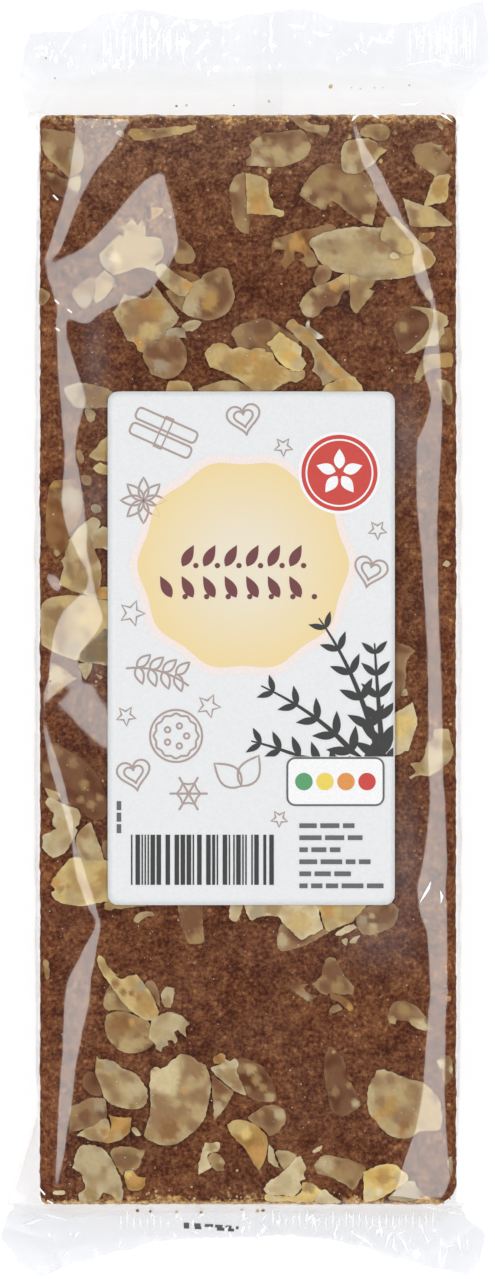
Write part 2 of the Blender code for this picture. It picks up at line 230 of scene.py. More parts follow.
def bakedSpeculaas():
    # Spiced biscuit baked to a dark crust: dull and crumbly, reddish brown with small lighter
    # crumbs and dark pits, and a golden rim where the two ends caught the heat.
    material, tree, surface, place = newMaterial("bakedSpeculaas")
    crumb = addNode(tree, "TexNoise", {"Scale": 1250.0, "Detail": 4.0, "Roughness": 0.75},
                    {"Vector": place})
    clumps = addNode(tree, "TexNoise", {"Scale": 400.0, "Detail": 3.0, "Roughness": 0.6},
                     {"Vector": place})
    patches = addNode(tree, "TexNoise", {"Scale": 75.0, "Detail": 2.0}, {"Vector": place})
    grains = addNode(tree, "TexVoronoi", {"Scale": 1000.0}, {"Vector": place})
    picked = addNode(tree, "SeparateColor", links={0: grains.outputs["Color"]})
    lightGrain = addNode(tree, "MapRange", {1: 0.72, 2: 1.0, 3: 0.0, 4: 1.0}, {0: picked})
    core = addNode(tree, "MapRange", {1: 0.2, 2: 0.55, 3: 1.0, 4: 0.0},
                   {0: grains.outputs["Distance"]})
    grain = addNode(tree, "Math", links={0: lightGrain, 1: core}, operation="MULTIPLY")
    total = addNode(tree, "Math", {1: 0.58, 2: 0.005}, {0: crumb}, operation="MULTIPLY_ADD")
    for layer, weight in ((clumps, 0.36), (patches, 0.12), (grain, 0.13)):
        total = addNode(tree, "Math", {1: weight}, {0: layer, 2: total}, operation="MULTIPLY_ADD")
    dough = addNode(tree, "ValToRGB", links={0: total}, ramp=(
        (0.39, "3a150a"), (0.84, "cf9c6a"), (0.47, "572913"), (0.546, "744428"),
        (0.62, "8f5d3a"), (0.7, "a8744a")))
    away = addNode(tree, "SeparateXYZ", links={0: place})
    rims = []
    for end, begin, full, share in ((1, 0.1109, 0.1121, 0.85), (-1, 0.1107, 0.1118, 0.95)):
        offEnd = addNode(tree, "Math", {1: end, 2: -end * bar["centre"][1] * mm},
                         {0: away.outputs[1]}, operation="MULTIPLY_ADD")
        offEnd = addNode(tree, "Math", {1: 0.007}, {0: clumps, 2: offEnd}, operation="MULTIPLY_ADD")
        rims.append(addNode(tree, "MapRange", {1: begin, 2: full, 3: 0.0, 4: share}, {0: offEnd}))
    rimShare = addNode(tree, "Math", links={0: rims[0], 1: rims[1]})
    golden = addNode(tree, "ValToRGB", links={0: crumb}, ramp=((0.38, "8a4c1c"), (0.6, "f5cc86")))
    offSide = addNode(tree, "Math", {1: bar["centre"][0] * mm}, {0: away}, operation="SUBTRACT")
    offSide = addNode(tree, "Math", links={0: offSide}, operation="ABSOLUTE")
    sideShare = addNode(tree, "MapRange", {1: 0.037, 2: 0.0405}, {0: offSide})
    # Paler and greyer towards the +Y end: partly the crust baked paler there, partly a painted veil of the
    # light that the film scatters over it.
    paintedVeilAndPaleEndShare = addNode(tree, "MapRange", {1: 0.076, 2: 0.1}, {0: away.outputs[1]})
    for share, tint in ((sideShare, (1.15, 1.1, 0.95, 1)), (paintedVeilAndPaleEndShare, (1.25, 1.5, 1.7, 1))):
        shift = addNode(tree, "Mix", {6: (1, 1, 1, 1), 7: tint}, {0: share}, data_type="RGBA")
        dough = addNode(tree, "VectorMath", links={0: dough, 1: shift.outputs[2]},
                        operation="MULTIPLY")
    color = addNode(tree, "Mix", links={0: rimShare, 6: dough, 7: golden}, data_type="RGBA")
    bump = addNode(tree, "Bump", {"Strength": 0.7, "Distance": 0.00025}, {"Height": crumb})
    shader = addNode(tree, "BsdfPrincipled", {"Roughness": 0.85, "IOR": 1.45, "Specular IOR Level": 0.1},
                     {"Base Color": color.outputs[2], "Normal": bump})
    tree.links.new(shader.outputs[0], surface)
    return material


# The almond flakes, each outlined in millimetres from the middle of the pack. A third value
# of 1 makes a point a corner; the line is smooth through the others. A spot is x, y, reach, tone.

almondTones = {      # inside a slice, near its edge, and in its blotches
    "cream": ("dfcc9f", "f3e8c3", "cbb284"), "bright": ("ebcd80", "f7e9b0", "d9b164"),
    "yellow": ("d2b679", "e8daa6", "ba975e"), "tan": ("c1a776", "e0d2a5", "9e7c55"),
    "olive": ("ac8c5a", "cbb684", "8a643d"), "clear": ("a07b53", "c2a77a", "7e5433"),
    "dark": ("805434", "a17c57", "653410"), "pale": ("c8b48a", "e6dbb6", "ad9268"),
    "mauve": ("b19d7e", "cfc4a3", "947657"), "honey": ("bc9350", "d6b778", "a47638"),
    "orange": ("cf9d58", "dab87a", "b8823f"), "toast": ("b48148", "c8a368", "956028"),
    "brown": ("976a3c", "b89460", "7b4a1b"), "white": ("e9e2cb", "f6f3e2", "d8cfb6"),
}
slices = {
    "thickness": 0.42, "thin": 4.0, "sunk": 0.08, "lift": 0.08, "cell": 0.5, "step": 0.3,
    "ragged": ((0.7, 0.2), (2.4, 0.12)), "cup": 0.3, "wave": 0.2, "waveLength": 5.0,
    "edgeReach": 0.9, "edgeShare": 0.45, "underFilm": 0.14, "heightCell": 0.6, "blotch": 3.2,
    "fleck": 0.8,
    # how the tones of a slice mix: a base, then what each noise adds to it
    "uneven": 2.6, "patchShare": (0.32, 1.7, 0.25), "edgePatch": (0.5, 1.8),
    "spotTorn": (0.6, 0.5), "spotFade": (1.3, 0.7, 0.92), "fleckShade": 0.08,
}
flakes = [
    ("olive", [(-40.4, 101.9, 1), (-37, 101.5), (-34.2, 100.9), (-32.8, 99), (-32.3, 96), (-32.9, 93.4),
      (-35.2, 92, 1), (-37.2, 94), (-38.6, 95.2), (-40.2, 97, 1), (-40.8, 99.5)],
     [(-37, 99.6, 3, "clear"), (-39.4, 97.6, 1.8, "tan"), (-33.4, 97, 2, "mauve")]),
    ("dark", [(-39.8, 92.8), (-38.4, 93), (-36, 91.8), (-33.2, 92.5), (-32.8, 91), (-33.6, 88.8), (-36, 88),
      (-38.5, 89.5)], [(-33.6, 91, 1.5, "pale"), (-38.7, 92.7, 0.8, "olive")]),
    ("olive", [(-23.7, 100.9, 1), (-22.9, 101.9, 1), (-18, 102), (-12.5, 102.4), (-9.8, 102.7, 1),
      (-9.9, 101.7, 1), (-12, 101), (-15.5, 100.3), (-20.5, 99.5), (-22.2, 99.6, 1)],
     [(-11.8, 101.8, 2.6, "yellow"), (-22, 101, 1.6, "honey")]),
    ("tan", [(-25.9, 100.9), (-25.2, 101.6), (-24.3, 101.1), (-24.4, 100.1, 1)], []),
    ("honey", [(-18.9, 86.3, 1), (-16.5, 86), (-16.4, 85.4), (-17.6, 84.4), (-18.8, 83.8, 1)], []),
    ("tan", [(-29.2, 76.8, 1), (-27.6, 78.4), (-25.3, 80.6), (-24.2, 80.1, 1), (-24.4, 81.6, 1),
      (-25.8, 82.2, 1), (-24.1, 82.6), (-22.5, 84, 1), (-21.6, 82.6), (-20.7, 83.6), (-20, 82),
      (-20.1, 80.4, 1), (-18.5, 80.3), (-16.9, 79.9, 1), (-16.3, 77.4), (-16.6, 76), (-17.9, 74.9, 1),
      (-17.6, 73.1, 1), (-20.9, 74.2), (-23.6, 73.4), (-26.3, 72.6, 1), (-28.6, 74.6)],
     [(-22, 79, 4.8, "tan"), (-28.2, 75, 1.6, "mauve"), (-20.2, 82.8, 0.5, "clear"),
      (-17.4, 78.8, 0.8, "mauve"), (-26.2, 76.4, 1.2, "cream")]),
    ("tan", [(-28.1, 73.7, 1), (-26.6, 72.4), (-26.2, 71.2, 1), (-26.8, 69.8), (-28.2, 68), (-29.8, 67, 1),
      (-30.3, 68), (-30, 70), (-29.8, 71.6), (-29, 72.8)], [(-27.6, 70.5, 1.5, "tan")]),
    ("clear", [(-31.2, 72.1, 1), (-30, 72, 1), (-30.1, 70), (-30.4, 68), (-31.5, 66.3), (-32.4, 65.9, 1),
      (-34, 67.5), (-34.6, 69), (-33.4, 70.6)], [(-32, 67.4, 1.6, "mauve")]),
    ("brown", [(-13, 73.4), (-10, 72.8), (-9, 71.2), (-11.4, 70.6), (-13.4, 71.6)], []),
    ("olive", [(-15.8, 69.6), (-11.8, 68.6), (-12.3, 65.4), (-14.3, 67)], []),
    ("clear", [(-12.1, 64.8, 1), (-12.5, 66), (-11.8, 68.8), (-10.6, 71.3, 1), (-9.2, 71.7), (-8.2, 72.9),
      (-6.6, 73.5), (-4.6, 74.2), (-3.2, 73.3), (-2.4, 70), (-2.3, 67.5), (-3.6, 65.2), (-6, 63.9),
      (-9, 63.8)],
     [(-11, 66.4, 2.2, "pale"), (-9.7, 70.2, 2, "tan"), (-7.2, 66.8, 2, "honey"),
      (-5.4, 71.8, 1, "olive")]),
    ("tan", [(-18.3, 70.9, 1), (-13.2, 64.3, 1), (-14.1, 62.6), (-15.8, 61.8, 1), (-15.7, 60),
      (-15.9, 58.4, 1), (-17.4, 57.5), (-18.9, 56.9, 1), (-21.1, 57.3), (-21.8, 58.4, 1), (-22.2, 59),
      (-23.5, 59.6, 1), (-26.6, 65.3, 1), (-25.4, 66.4), (-24.2, 68.8, 1), (-21.7, 68.2), (-20.3, 67.9),
      (-19, 68.8), (-18.5, 70, 1)],
     [(-19.6, 65.4, 2.7, "toast"), (-21.6, 63, 2.8, "clear"), (-17.3, 65.6, 1.6, "honey"),
      (-14.8, 64.4, 1.6, "pale"), (-21.2, 58.9, 1.3, "orange"), (-17.6, 58.8, 1.8, "pale"),
      (-19, 61, 1.8, "yellow")]),
    ("tan", [(-16.3, 74.9, 1), (-15.2, 73.9), (-13, 72.4), (-10.3, 70.6, 1), (-11.3, 69.6),
      (-11.7, 68.4, 1), (-13.5, 68.6), (-15, 69.7), (-16.5, 71), (-17.7, 72.7), (-17.9, 74.5)],
     [(-16.2, 72.6, 1.9, "pale"), (-11.6, 70.7, 1.2, "orange"), (-13.9, 69.6, 1, "tan")]),
    ("pale", [(-12.8, 61.9), (-12, 63.2), (-9.8, 63.6), (-8.6, 63.2, 1), (-9.5, 62.2), (-10.6, 61.4, 1),
      (-12.2, 61.4)], []),
    ("mauve", [(-15.8, 61.6), (-12.5, 62), (-11.8, 60, 1), (-13.6, 60.2), (-15.5, 59.9)], []),
    ("clear", [(-14, 79.6), (-12, 79.4), (-10.6, 78), (-10.1, 76.1), (-11, 75.1), (-13.9, 75.3)],
     [(-13, 76.5, 1.5, "olive")]),
    ("clear", [(-20.5, 57), (-18, 59.5), (-14, 60.5), (-11.8, 57.5), (-12.3, 54), (-15, 52), (-18.5, 52.8),
      (-19.6, 54.4)], [(-17, 54.6, 1.6, "mauve"), (-14, 57.6, 1.8, "dark"), (-18.4, 57.4, 1.4, "dark")]),
    ("clear", [(0.9, 98.6, 1), (2.4, 100.2), (4, 101.1, 1), (6.5, 101.2), (9.5, 101.6), (11.6, 101.4),
      (12.7, 99.4), (13.1, 98.2), (12.4, 96.6), (10.5, 95.4), (8, 94.5), (5, 94.2), (2, 94.4),
      (0.2, 94.6, 1), (0.2, 95.8, 1), (1.2, 96.8)],
     [(7.4, 95.4, 2, "tan"), (4, 97.2, 1.2, "tan"), (10.6, 96.4, 1.6, "tan"), (12.4, 98.2, 1.3, "tan"),
      (2.5, 95, 1.3, "pale"), (6.1, 97.4, 1, "tan"), (2.6, 99.6, 1, "tan"), (4.6, 99.4, 1, "olive")]),
    ("clear", [(8.5, 104.4, 1), (11.1, 104.4, 1), (12.1, 103.4), (14, 102.6), (16.8, 102.6, 1),
      (16.3, 100.3, 1), (15.6, 100.3), (14.3, 101), (12.2, 101.4), (10.3, 102.6)],
     [(12.6, 103.1, 0.9, "tan"), (14.6, 102.3, 0.9, "tan"), (16.2, 101.8, 0.9, "tan")]),
    ("clear", [(-1, 93, 1), (-2.4, 91.8), (-3.2, 89.6), (-2.9, 87), (-2.6, 84.6), (-2, 82.6), (-0.6, 81.2),
      (0.7, 80.8, 1), (0.9, 84.6), (0.2, 88), (0, 92.8)],
     [(-2.4, 90, 1, "tan"), (-0.8, 82.8, 1.5, "olive")]),
    ("yellow", [(0, 93.1, 1), (2, 92.6), (4.2, 91.6), (4.6, 90.4), (4.7, 88.6), (5.4, 87.4), (5.5, 86.2, 1),
      (6.2, 85.7), (7.6, 85.6, 1), (7.7, 84.5), (6.9, 84.3, 1), (5, 84.7), (0.3, 84.9, 1), (0.2, 89)],
     [(2.4, 92, 1.8, "tan"), (2.4, 87.6, 2, "honey"), (2.6, 85.6, 1.4, "orange")]),
    ("yellow", [(4.3, 93), (4.6, 94), (5.2, 93.9), (5.2, 93, 1)], []),
    ("clear", [(10.8, 88.7, 1), (11.5, 90.3), (13, 92.6), (15, 94.4), (17.5, 95), (21, 94.6), (23.5, 93.3),
      (25.5, 90.6), (26.3, 88), (25.9, 85), (25.3, 82.6, 1), (23.8, 83), (22, 84), (20.2, 85.3),
      (18.6, 86.8), (17.2, 87.5, 1), (16.3, 86.6), (16.2, 85.9), (15.3, 85.8, 1), (13.3, 86.7),
      (12, 87.5, 1)],
     [(14.6, 86.8, 1.3, "tan"), (24.6, 83.6, 1.3, "tan"), (12, 89, 1.3, "tan"), (18.4, 88.2, 1.3, "olive"),
      (20.6, 90.8, 1.8, "olive"), (14.6, 92.4, 2.2, "olive"), (17.6, 92.8, 1, "brown"),
      (25.4, 88, 1.1, "tan")]),
    ("tan", [(19.1, 96.6), (19.4, 98.4), (20.5, 99.5), (24, 99.9), (26, 99.3), (26.7, 98.4, 1),
      (28.3, 97.6, 1), (26.6, 96.1), (25.8, 95.2), (24.5, 94.3), (22.9, 93, 1), (20.4, 93), (19.3, 93.9)],
     [(25.3, 98.4, 1.5, "brown"), (21.6, 98.4, 1.2, "clear"), (21.2, 93.7, 1.3, "pale"),
      (27.3, 97.4, 0.8, "yellow")]),
    ("olive", [(22.9, 101.3), (24, 102.4), (26.5, 102.8), (28.4, 102.2), (28.8, 100.8), (28, 99.6),
      (26.5, 99.4), (25, 100), (23.4, 100.4)], [(27.4, 101.4, 1.2, "olive")]),
    ("honey", [(20.3, 99.9, 1), (20.8, 100.9), (21.2, 100.3), (21, 99.7, 1)], []),
    ("clear", [(34, 98.7, 1), (35.5, 98.9), (37.2, 99.1), (38.2, 98.7), (39.6, 98.6, 1), (39.2, 98),
      (40, 96.9), (41.2, 95.8), (41.3, 94.6, 1), (40.3, 94), (40.1, 92.9, 1), (39, 92.4), (38.2, 91.8, 1),
      (37, 93.2), (35.8, 93.8), (33.8, 95.2, 1), (33.9, 96.2), (33.2, 97.2)],
     [(34.5, 95.4, 1, "olive"), (38.6, 98.5, 0.9, "tan"), (37.4, 92.8, 1, "tan"),
      (36.5, 96.4, 2, "olive")]),
    ("yellow", [(38.8, 92.6, 1), (40.6, 92.8), (40.8, 92.3, 1), (40.5, 90.6), (40.4, 88.6), (40, 87.4),
      (39.2, 87, 1), (37.6, 86.9), (36, 86.2, 1), (35.6, 86.4), (36.3, 88.6), (36.9, 90.4), (37.6, 91.8)],
     [(38.6, 90.2, 1.8, "honey")]),
    ("tan", [(31.3, 88.1, 1), (33.5, 87.2), (35.6, 86.5), (37.5, 86), (39.3, 84.8), (41.2, 82.8, 1),
      (40.6, 82.3), (38.5, 82.4), (36.2, 82.2), (32.9, 82.4, 1), (32.4, 84.6), (31.9, 86.2)],
     [(36, 84, 2.4, "yellow"), (34.2, 86.4, 0.9, "pale")]),
    ("orange", [(26.6, 95.1), (27, 95.9), (27.5, 95.5), (27.2, 95, 1)], []),
    ("tan", [(38, 102.8, 1), (38.6, 103.4), (39.4, 102.4), (39.3, 101.7, 1), (38.6, 102.2)], []),
    ("orange", [(34.5, 80.2), (35.5, 81), (37.8, 81.2, 1), (37.6, 80.4), (36, 79.2), (34.8, 79.4)],
     [(36, 80, 1.5, "brown")]),
    ("brown", [(5.9, 80, 1), (8.5, 80.7), (11, 81.7), (13.5, 82), (16.4, 82.9, 1), (18, 82.4),
      (18, 81.4, 1), (15.5, 80.6), (13.4, 79.4), (12.9, 78, 1), (13.8, 76.8), (14.6, 74.6, 1), (12.5, 74.2),
      (11.6, 75.3, 1), (10.6, 75.7, 1), (11.8, 76.2), (11.2, 77.2), (9.8, 77.4, 1), (9.7, 76.2),
      (10, 75.7, 1), (9, 75), (8, 73.7, 1), (6.6, 75.4, 1), (7.6, 76.2), (7.8, 77.8, 1), (6.2, 77.8),
      (5.3, 77, 1), (5.4, 79)],
     [(8.2, 80, 1.4, "clear"), (15.4, 81.9, 1.8, "clear"), (6.4, 78.6, 0.8, "tan"),
      (12.8, 75.3, 1.1, "olive"), (10.6, 79, 1.8, "orange"), (12, 78, 1.2, "toast")]),
    ("pale", [(12.6, 79), (13.2, 79.9), (15.5, 81), (19, 81.9), (22, 82.3), (25, 82.1), (28.5, 82),
      (32.5, 81.2), (34.8, 79.4), (36.8, 77.8), (37.8, 76.4), (37.8, 75.2), (36.6, 74), (34.5, 73),
      (31.5, 72.1), (28, 71.7), (24.5, 71.7), (21.5, 72.5), (19.6, 73), (16.8, 73.8), (14.8, 75.4),
      (13.7, 77.4), (13, 78.3, 1)],
     [(26, 79.8, 1.7, "clear"), (27.3, 78.3, 1.3, "clear"), (16.8, 79.2, 0.7, "clear"),
      (17.8, 77.3, 0.8, "clear"), (36.3, 76, 1.6, "honey"), (32, 74.6, 2.6, "yellow"),
      (23.4, 81, 0.9, "olive"), (22, 76.4, 3.4, "tan"), (16, 75.6, 2, "tan")]),
    ("tan", [(28.1, 84.2, 1), (26.9, 80), (27.8, 79.2), (29.3, 78.1, 1), (29.9, 77.2), (31, 77.3),
      (31.6, 76.8), (33, 77), (34, 77.8, 1), (34.6, 79), (33.4, 80.8), (31.5, 82.6), (29.8, 84.4, 1)],
     [(31.7, 78.3, 1.9, "yellow"), (28.8, 83.6, 1, "olive")]),
    ("cream", [(28.8, 76.4), (29.3, 77.2), (30.2, 76.9), (30.7, 76.1, 1), (29.4, 75.9)], []),
    ("clear", [(13.5, 72.3), (14.8, 74.6), (17, 73.8), (17, 72), (15.5, 70.9), (14, 70.4)], []),
    ("clear", [(10.8, 66.8), (12.2, 69), (14, 70.3), (16.5, 71.2), (18, 72), (19.6, 72.8, 1), (20.9, 72.6),
      (21, 71), (20.8, 69.8, 1), (19.5, 69.2), (19, 68), (18, 66.6), (16, 66.3), (15, 65.2),
      (13.8, 64.2, 1), (12.2, 64.3), (11.2, 65.5)],
     [(12, 67.4, 1.5, "tan"), (14.4, 69.8, 1.1, "tan"), (17.5, 71.2, 1.2, "tan"), (20, 72, 1.2, "yellow"),
      (12.4, 65.2, 1, "pale"), (18, 70.2, 1, "orange"), (16.4, 67.6, 1.6, "dark")]),
    ("olive", [(21, 72.6, 1), (22.5, 72.3), (24, 71.8), (25.8, 71.6, 1), (25.6, 70.6), (24.6, 69.8, 1),
      (25.9, 69.4, 1), (24.4, 67.6), (23, 65.9), (22, 64.9, 1), (21, 66.4), (20.8, 68.5), (20.8, 70.5)],
     [(22.2, 70.4, 1.1, "clear"), (21.9, 67.4, 1.2, "clear"), (24.4, 68.8, 0.9, "tan"),
      (21.3, 72, 0.8, "yellow")]),
    ("clear", [(-2.8, 61.2), (-1, 62.8), (2.8, 64, 1), (4.6, 63.8), (7, 62.2), (10.7, 59.6), (8, 57),
      (2, 57.6), (-1.6, 58.4, 1), (-2.3, 60)],
     [(6, 62.2, 1.2, "olive"), (-1.4, 61.2, 1, "olive"), (3, 62, 1.6, "dark"), (3.4, 59.6, 1.3, "brown")]),
    ("yellow", [(-7.4, 58), (-6.2, 59.1), (-4.5, 59.1), (-3.4, 58.4), (-2.6, 57.8, 1), (-1.1, 58.2),
      (0.8, 57.8), (2.5, 58.2), (3.9, 57.8, 1), (4.1, 57.3), (5.4, 57.2, 1), (6, 55.6), (7.5, 54.4),
      (9.5, 53.6), (11.4, 53.6), (12, 53, 1), (11.5, 52), (10, 51.2), (8.5, 51.4), (6.8, 50.4),
      (5.2, 49.4, 1), (2, 49.2), (0.6, 50.2), (-1, 51.6), (-2.4, 52.4), (-4.5, 53.4), (-7, 54.2, 1),
      (-7.6, 55.6), (-8.1, 56.8)],
     [(1.6, 56.2, 1.5, "orange"), (4.4, 53, 3, "honey"), (10, 52.8, 1.4, "tan"), (-1.5, 55, 2, "honey"),
      (-4, 54.2, 1.4, "olive"), (4, 50.4, 1.4, "olive")]),
    ("bright", [(6.8, 61.3, 1), (8.6, 60), (10.3, 59), (11.3, 58, 1), (11, 56.8), (11.4, 56), (12.2, 55, 1),
      (11.5, 53.9), (10.3, 53.4), (8.4, 54), (6.8, 55.3), (5.8, 56.8), (5, 58.4, 1), (4.4, 58.9),
      (5.5, 60)], [(10.6, 55, 1.5, "pale"), (10.4, 57.8, 1.1, "cream"), (7.2, 58.6, 2, "yellow")]),
    ("olive", [(-9.5, 50, 1), (-7, 50.8), (-4.5, 51.6), (-2.5, 51.5), (-0.6, 50.9), (1.4, 49.4), (1, 47),
      (-8, 47)], [(-3, 50.6, 2, "tan")]),
    ("yellow", [(-15.8, 49.5), (-15.7, 50.8), (-15.2, 51.5), (-13.8, 51.6), (-11.6, 51.4), (-10.9, 50.6),
      (-10.4, 49.6, 1), (-10.6, 48), (-15.6, 48)], []),
    ("mauve", [(-36.2, 49.6), (-34.4, 50.9), (-31.5, 51), (-28.5, 50.3), (-26.5, 49.2), (-26.5, 46.6),
      (-29, 46.2), (-31.5, 46), (-34, 46.4)],
     [(-30, 48.4, 2.2, "clear"), (-31, 50.6, 1, "olive"), (-28.4, 49.6, 1, "olive")]),
    ("tan", [(8.5, 63.4, 1), (9.6, 63.8), (10.6, 62.9), (12.5, 62), (13.6, 61), (14.3, 59.4), (17, 56.5),
      (19.5, 54), (21.6, 52.1, 1), (20, 52.2), (17.5, 51.4), (15.5, 50.6, 1), (14.6, 52.4), (13.4, 53.6, 1),
      (13.8, 55.4), (13.4, 56.8), (12.6, 58), (11.4, 59), (10, 60.5), (8, 62.4, 1)],
     [(16.4, 54.8, 0.9, "orange"), (18.4, 53.2, 1, "orange"), (9.6, 62.6, 1, "orange"),
      (15.4, 52.4, 1.2, "mauve"), (12.4, 60.4, 1.4, "honey"), (15.4, 56.6, 1.2, "honey")]),
    ("yellow", [(15.8, 50.4), (17, 51.2), (19, 51.9), (21.2, 52.5), (22.3, 51.6), (23.3, 50.3, 1),
      (23, 48.5), (15.8, 48.5)], [(20.3, 51.2, 0.8, "orange"), (19, 50.2, 1.2, "honey")]),
    ("mauve", [(12, 62.6), (12.7, 63.8, 1), (13, 62.4), (14.6, 61), (15.7, 60.2, 1), (14.2, 59.9),
      (13.2, 61)], [(12.5, 62.9, 0.7, "white"), (14.8, 60.2, 0.8, "white")]),
    ("dark", [(29.6, 62), (32, 65.6), (35.5, 66.3), (38, 64.5), (38, 60), (35, 57.5), (31.5, 57.4)],
     [(31.5, 62.2, 0.8, "olive")]),
    ("brown", [(38.6, 58.4), (39.3, 61.4), (41, 62), (41.4, 58.8), (40.4, 58)],
     [(39.4, 59.3, 0.8, "olive")]),
    ("tan", [(33, 66.3), (35.5, 66.3), (37.5, 65.9), (39, 65.2), (40.2, 64.4, 1), (40.3, 63),
      (39.4, 62.2, 1), (39.8, 61.2), (39, 60.2), (38.4, 59), (38, 58.4, 1), (36.5, 58.4), (35, 57.8),
      (33.8, 57.2), (31.6, 56.9, 1), (33, 57.8), (34.5, 59.2), (35.8, 60.6), (36.5, 62), (36.6, 63.6),
      (35.5, 65.2)], [(37.6, 60.4, 1.8, "pale"), (34, 65.8, 1.2, "olive")]),
    ("olive", [(35.7, 69), (36.8, 69.9), (37.4, 69.3), (37.3, 68), (36.4, 67.6, 1)], []),
    ("olive", [(33.6, 51.2, 1), (34.2, 53.4), (35, 55.4), (36.2, 56.6), (38.6, 56.9), (41.2, 57),
      (41.3, 54.6), (40.4, 54.3), (38, 54), (36, 53.2), (35, 51.8), (34.6, 51.1, 1)],
     [(40.2, 55.6, 1.5, "honey"), (34.4, 52.4, 1, "tan")]),
    ("olive", [(38.2, 51.8, 1), (39.5, 51.8), (40.8, 51), (41.3, 49), (41.2, 47.2), (40.4, 46.8),
      (39.6, 48), (38.9, 49.6)], [(39.4, 51.2, 0.9, "tan")]),
    ("olive", [(-41.2, 69.5), (-40.5, 70), (-39, 68.6), (-40, 67), (-41.2, 66.8)], []),
    ("yellow", [(-26.5, 40.9), (-28.2, 40), (-29.7, 38.4), (-31.3, 36.5, 1), (-30.2, 35.9), (-28.6, 35.6),
      (-26.5, 35.8)], [(-29.6, 37.6, 1.5, "tan")]),
    ("yellow", [(-30.5, 34.1, 1), (-29.2, 35.2), (-28, 34.8), (-26.5, 34.6), (-26.5, 32.8), (-28.4, 32.9),
      (-29.6, 33.2)], []),
    ("mauve", [(-31.8, 46), (-31.9, 44.8), (-31.2, 43.4), (-30.4, 43.5), (-29.9, 44.8, 1), (-30.3, 45.6)],
     [(-30.9, 44.4, 1, "tan")]),
    ("clear", [(-33.9, 37.5), (-32.7, 37.4), (-32.3, 35.5), (-33.2, 35.2)], []),
    ("clear", [(-32.7, 32.6), (-31, 32.4), (-30.8, 31), (-31.6, 30.6), (-32.6, 31)], []),
    ("mauve", [(-30.8, 26.6), (-29.4, 26.8), (-28.8, 25.8), (-29.6, 25.3), (-30.6, 25.6)], []),
    ("brown", [(-39.2, 30), (-38.3, 31.5), (-36.6, 31.8), (-34, 31.5), (-32.6, 29), (-32.8, 25),
      (-34, 22.4), (-35.3, 20.4), (-35.3, 18.4, 1), (-36.1, 17.7), (-37.6, 16.4, 1), (-38.3, 17),
      (-38.2, 18.2, 1), (-39.4, 18.4), (-39.9, 21), (-39.8, 26)],
     [(-38.2, 30.8, 1.2, "honey"), (-37.6, 17.2, 0.8, "tan"), (-35, 28, 2.5, "mauve")]),
    ("tan", [(-35.4, 19.8, 1), (-35.3, 18.6), (-36.2, 17.5, 1), (-36, 16.5), (-36.9, 15.6, 1),
      (-36.3, 14.4), (-36.8, 12.6), (-37.1, 10.9, 1), (-34.6, 9.6, 1), (-32.5, 9), (-30.4, 8.5),
      (-29.1, 9.6), (-28.9, 15), (-30, 17.4), (-30.6, 20), (-31.5, 20.8), (-33.4, 20.6)],
     [(-32.8, 12, 1.9, "olive"), (-34.8, 12.6, 0.8, "clear"), (-36.1, 11.6, 1, "yellow"),
      (-32.4, 14.9, 1.1, "clear"), (-33.6, 18.2, 1.4, "pale"), (-29.8, 12.6, 1.3, "olive")]),
    ("pale", [(-28.6, 22.5, 1), (-27, 21.6), (-26.8, 18), (-29.2, 18.2), (-30.2, 18), (-30.6, 20),
      (-30.9, 20.8)], [(-28.6, 19.6, 1.4, "olive")]),
    ("pale", [(-34.9, 20.3, 1), (-33.5, 22), (-30.9, 24.1), (-29.2, 23.7), (-28.9, 22.7, 1), (-29.8, 21.5),
      (-31, 20.7), (-33, 20)], []),
    ("honey", [(-30.4, 9.4), (-28.8, 10.3), (-27, 10), (-26.8, 8.2), (-28.4, 7.9), (-30, 8.1)],
     [(-28.5, 8.6, 0.8, "orange")]),
    ("tan", [(-40.7, 6.7), (-38.6, 8.2), (-35.5, 8.7), (-32, 8.6), (-29.8, 8.2), (-27, 7.2), (-25.5, 4),
      (-25.8, -2), (-27, -5.1), (-30.5, -4.8), (-33.4, -4.3, 1), (-36, -3.6), (-38.8, -2.3),
      (-40.7, -1.1, 1), (-40.9, 2)],
     [(-39.4, 2.4, 1.4, "olive"), (-35, -2, 2, "mauve"), (-30, 3.6, 3.4, "yellow"),
      (-36, 7.4, 1.4, "yellow")]),
    ("pale", [(-33.6, -4), (-33, -2.2), (-31, -0.4), (-29, 1.6), (-26.5, 3), (-25.5, 0), (-26, -4.8),
      (-29, -4.9), (-32, -4.8, 1)], [(-29.4, -2.6, 2.4, "honey")]),
    ("clear", [(-38.9, -5.1), (-37.5, -5.4), (-35.8, -6.2), (-34.6, -7.6), (-33.6, -7.8, 1), (-34.8, -8.4),
      (-36, -9.5), (-37, -10.8, 1), (-38.4, -11.2), (-39.6, -12.4, 1), (-39.3, -9)],
     [(-38, -7.4, 1.8, "pale"), (-37, -9.8, 1, "honey")]),
    ("pale", [(-33.1, -4.9), (-30.5, -4.9, 1), (-31, -6.6), (-32, -8.2, 1), (-32.8, -6.6)], []),
    ("tan", [(-29.9, -7), (-29.2, -7.9), (-28.5, -7.6), (-28.9, -7.2)], []),
    ("dark", [(-39, -21), (-37.5, -20.8), (-35, -22.5), (-31, -25.2), (-28.7, -29), (-27.6, -32),
      (-27.6, -35), (-29.5, -36.2), (-31.5, -35.6), (-33, -33.6), (-35, -33), (-38, -31.5), (-40.3, -29.6),
      (-40.5, -25)],
     [(-32, -29, 1, "olive"), (-29.2, -31.6, 0.8, "olive"), (-30.8, -33.2, 0.8, "olive"),
      (-33, -32, 0.7, "olive"), (-34.6, -24.8, 1, "clear"), (-38, -22.4, 1.3, "clear"),
      (-39.5, -26, 1, "clear")]),
    ("tan", [(-40.2, -29.6, 1), (-38.6, -30.2), (-37, -30.8), (-37.2, -32), (-38.6, -32),
      (-39.6, -31, 1)], []),
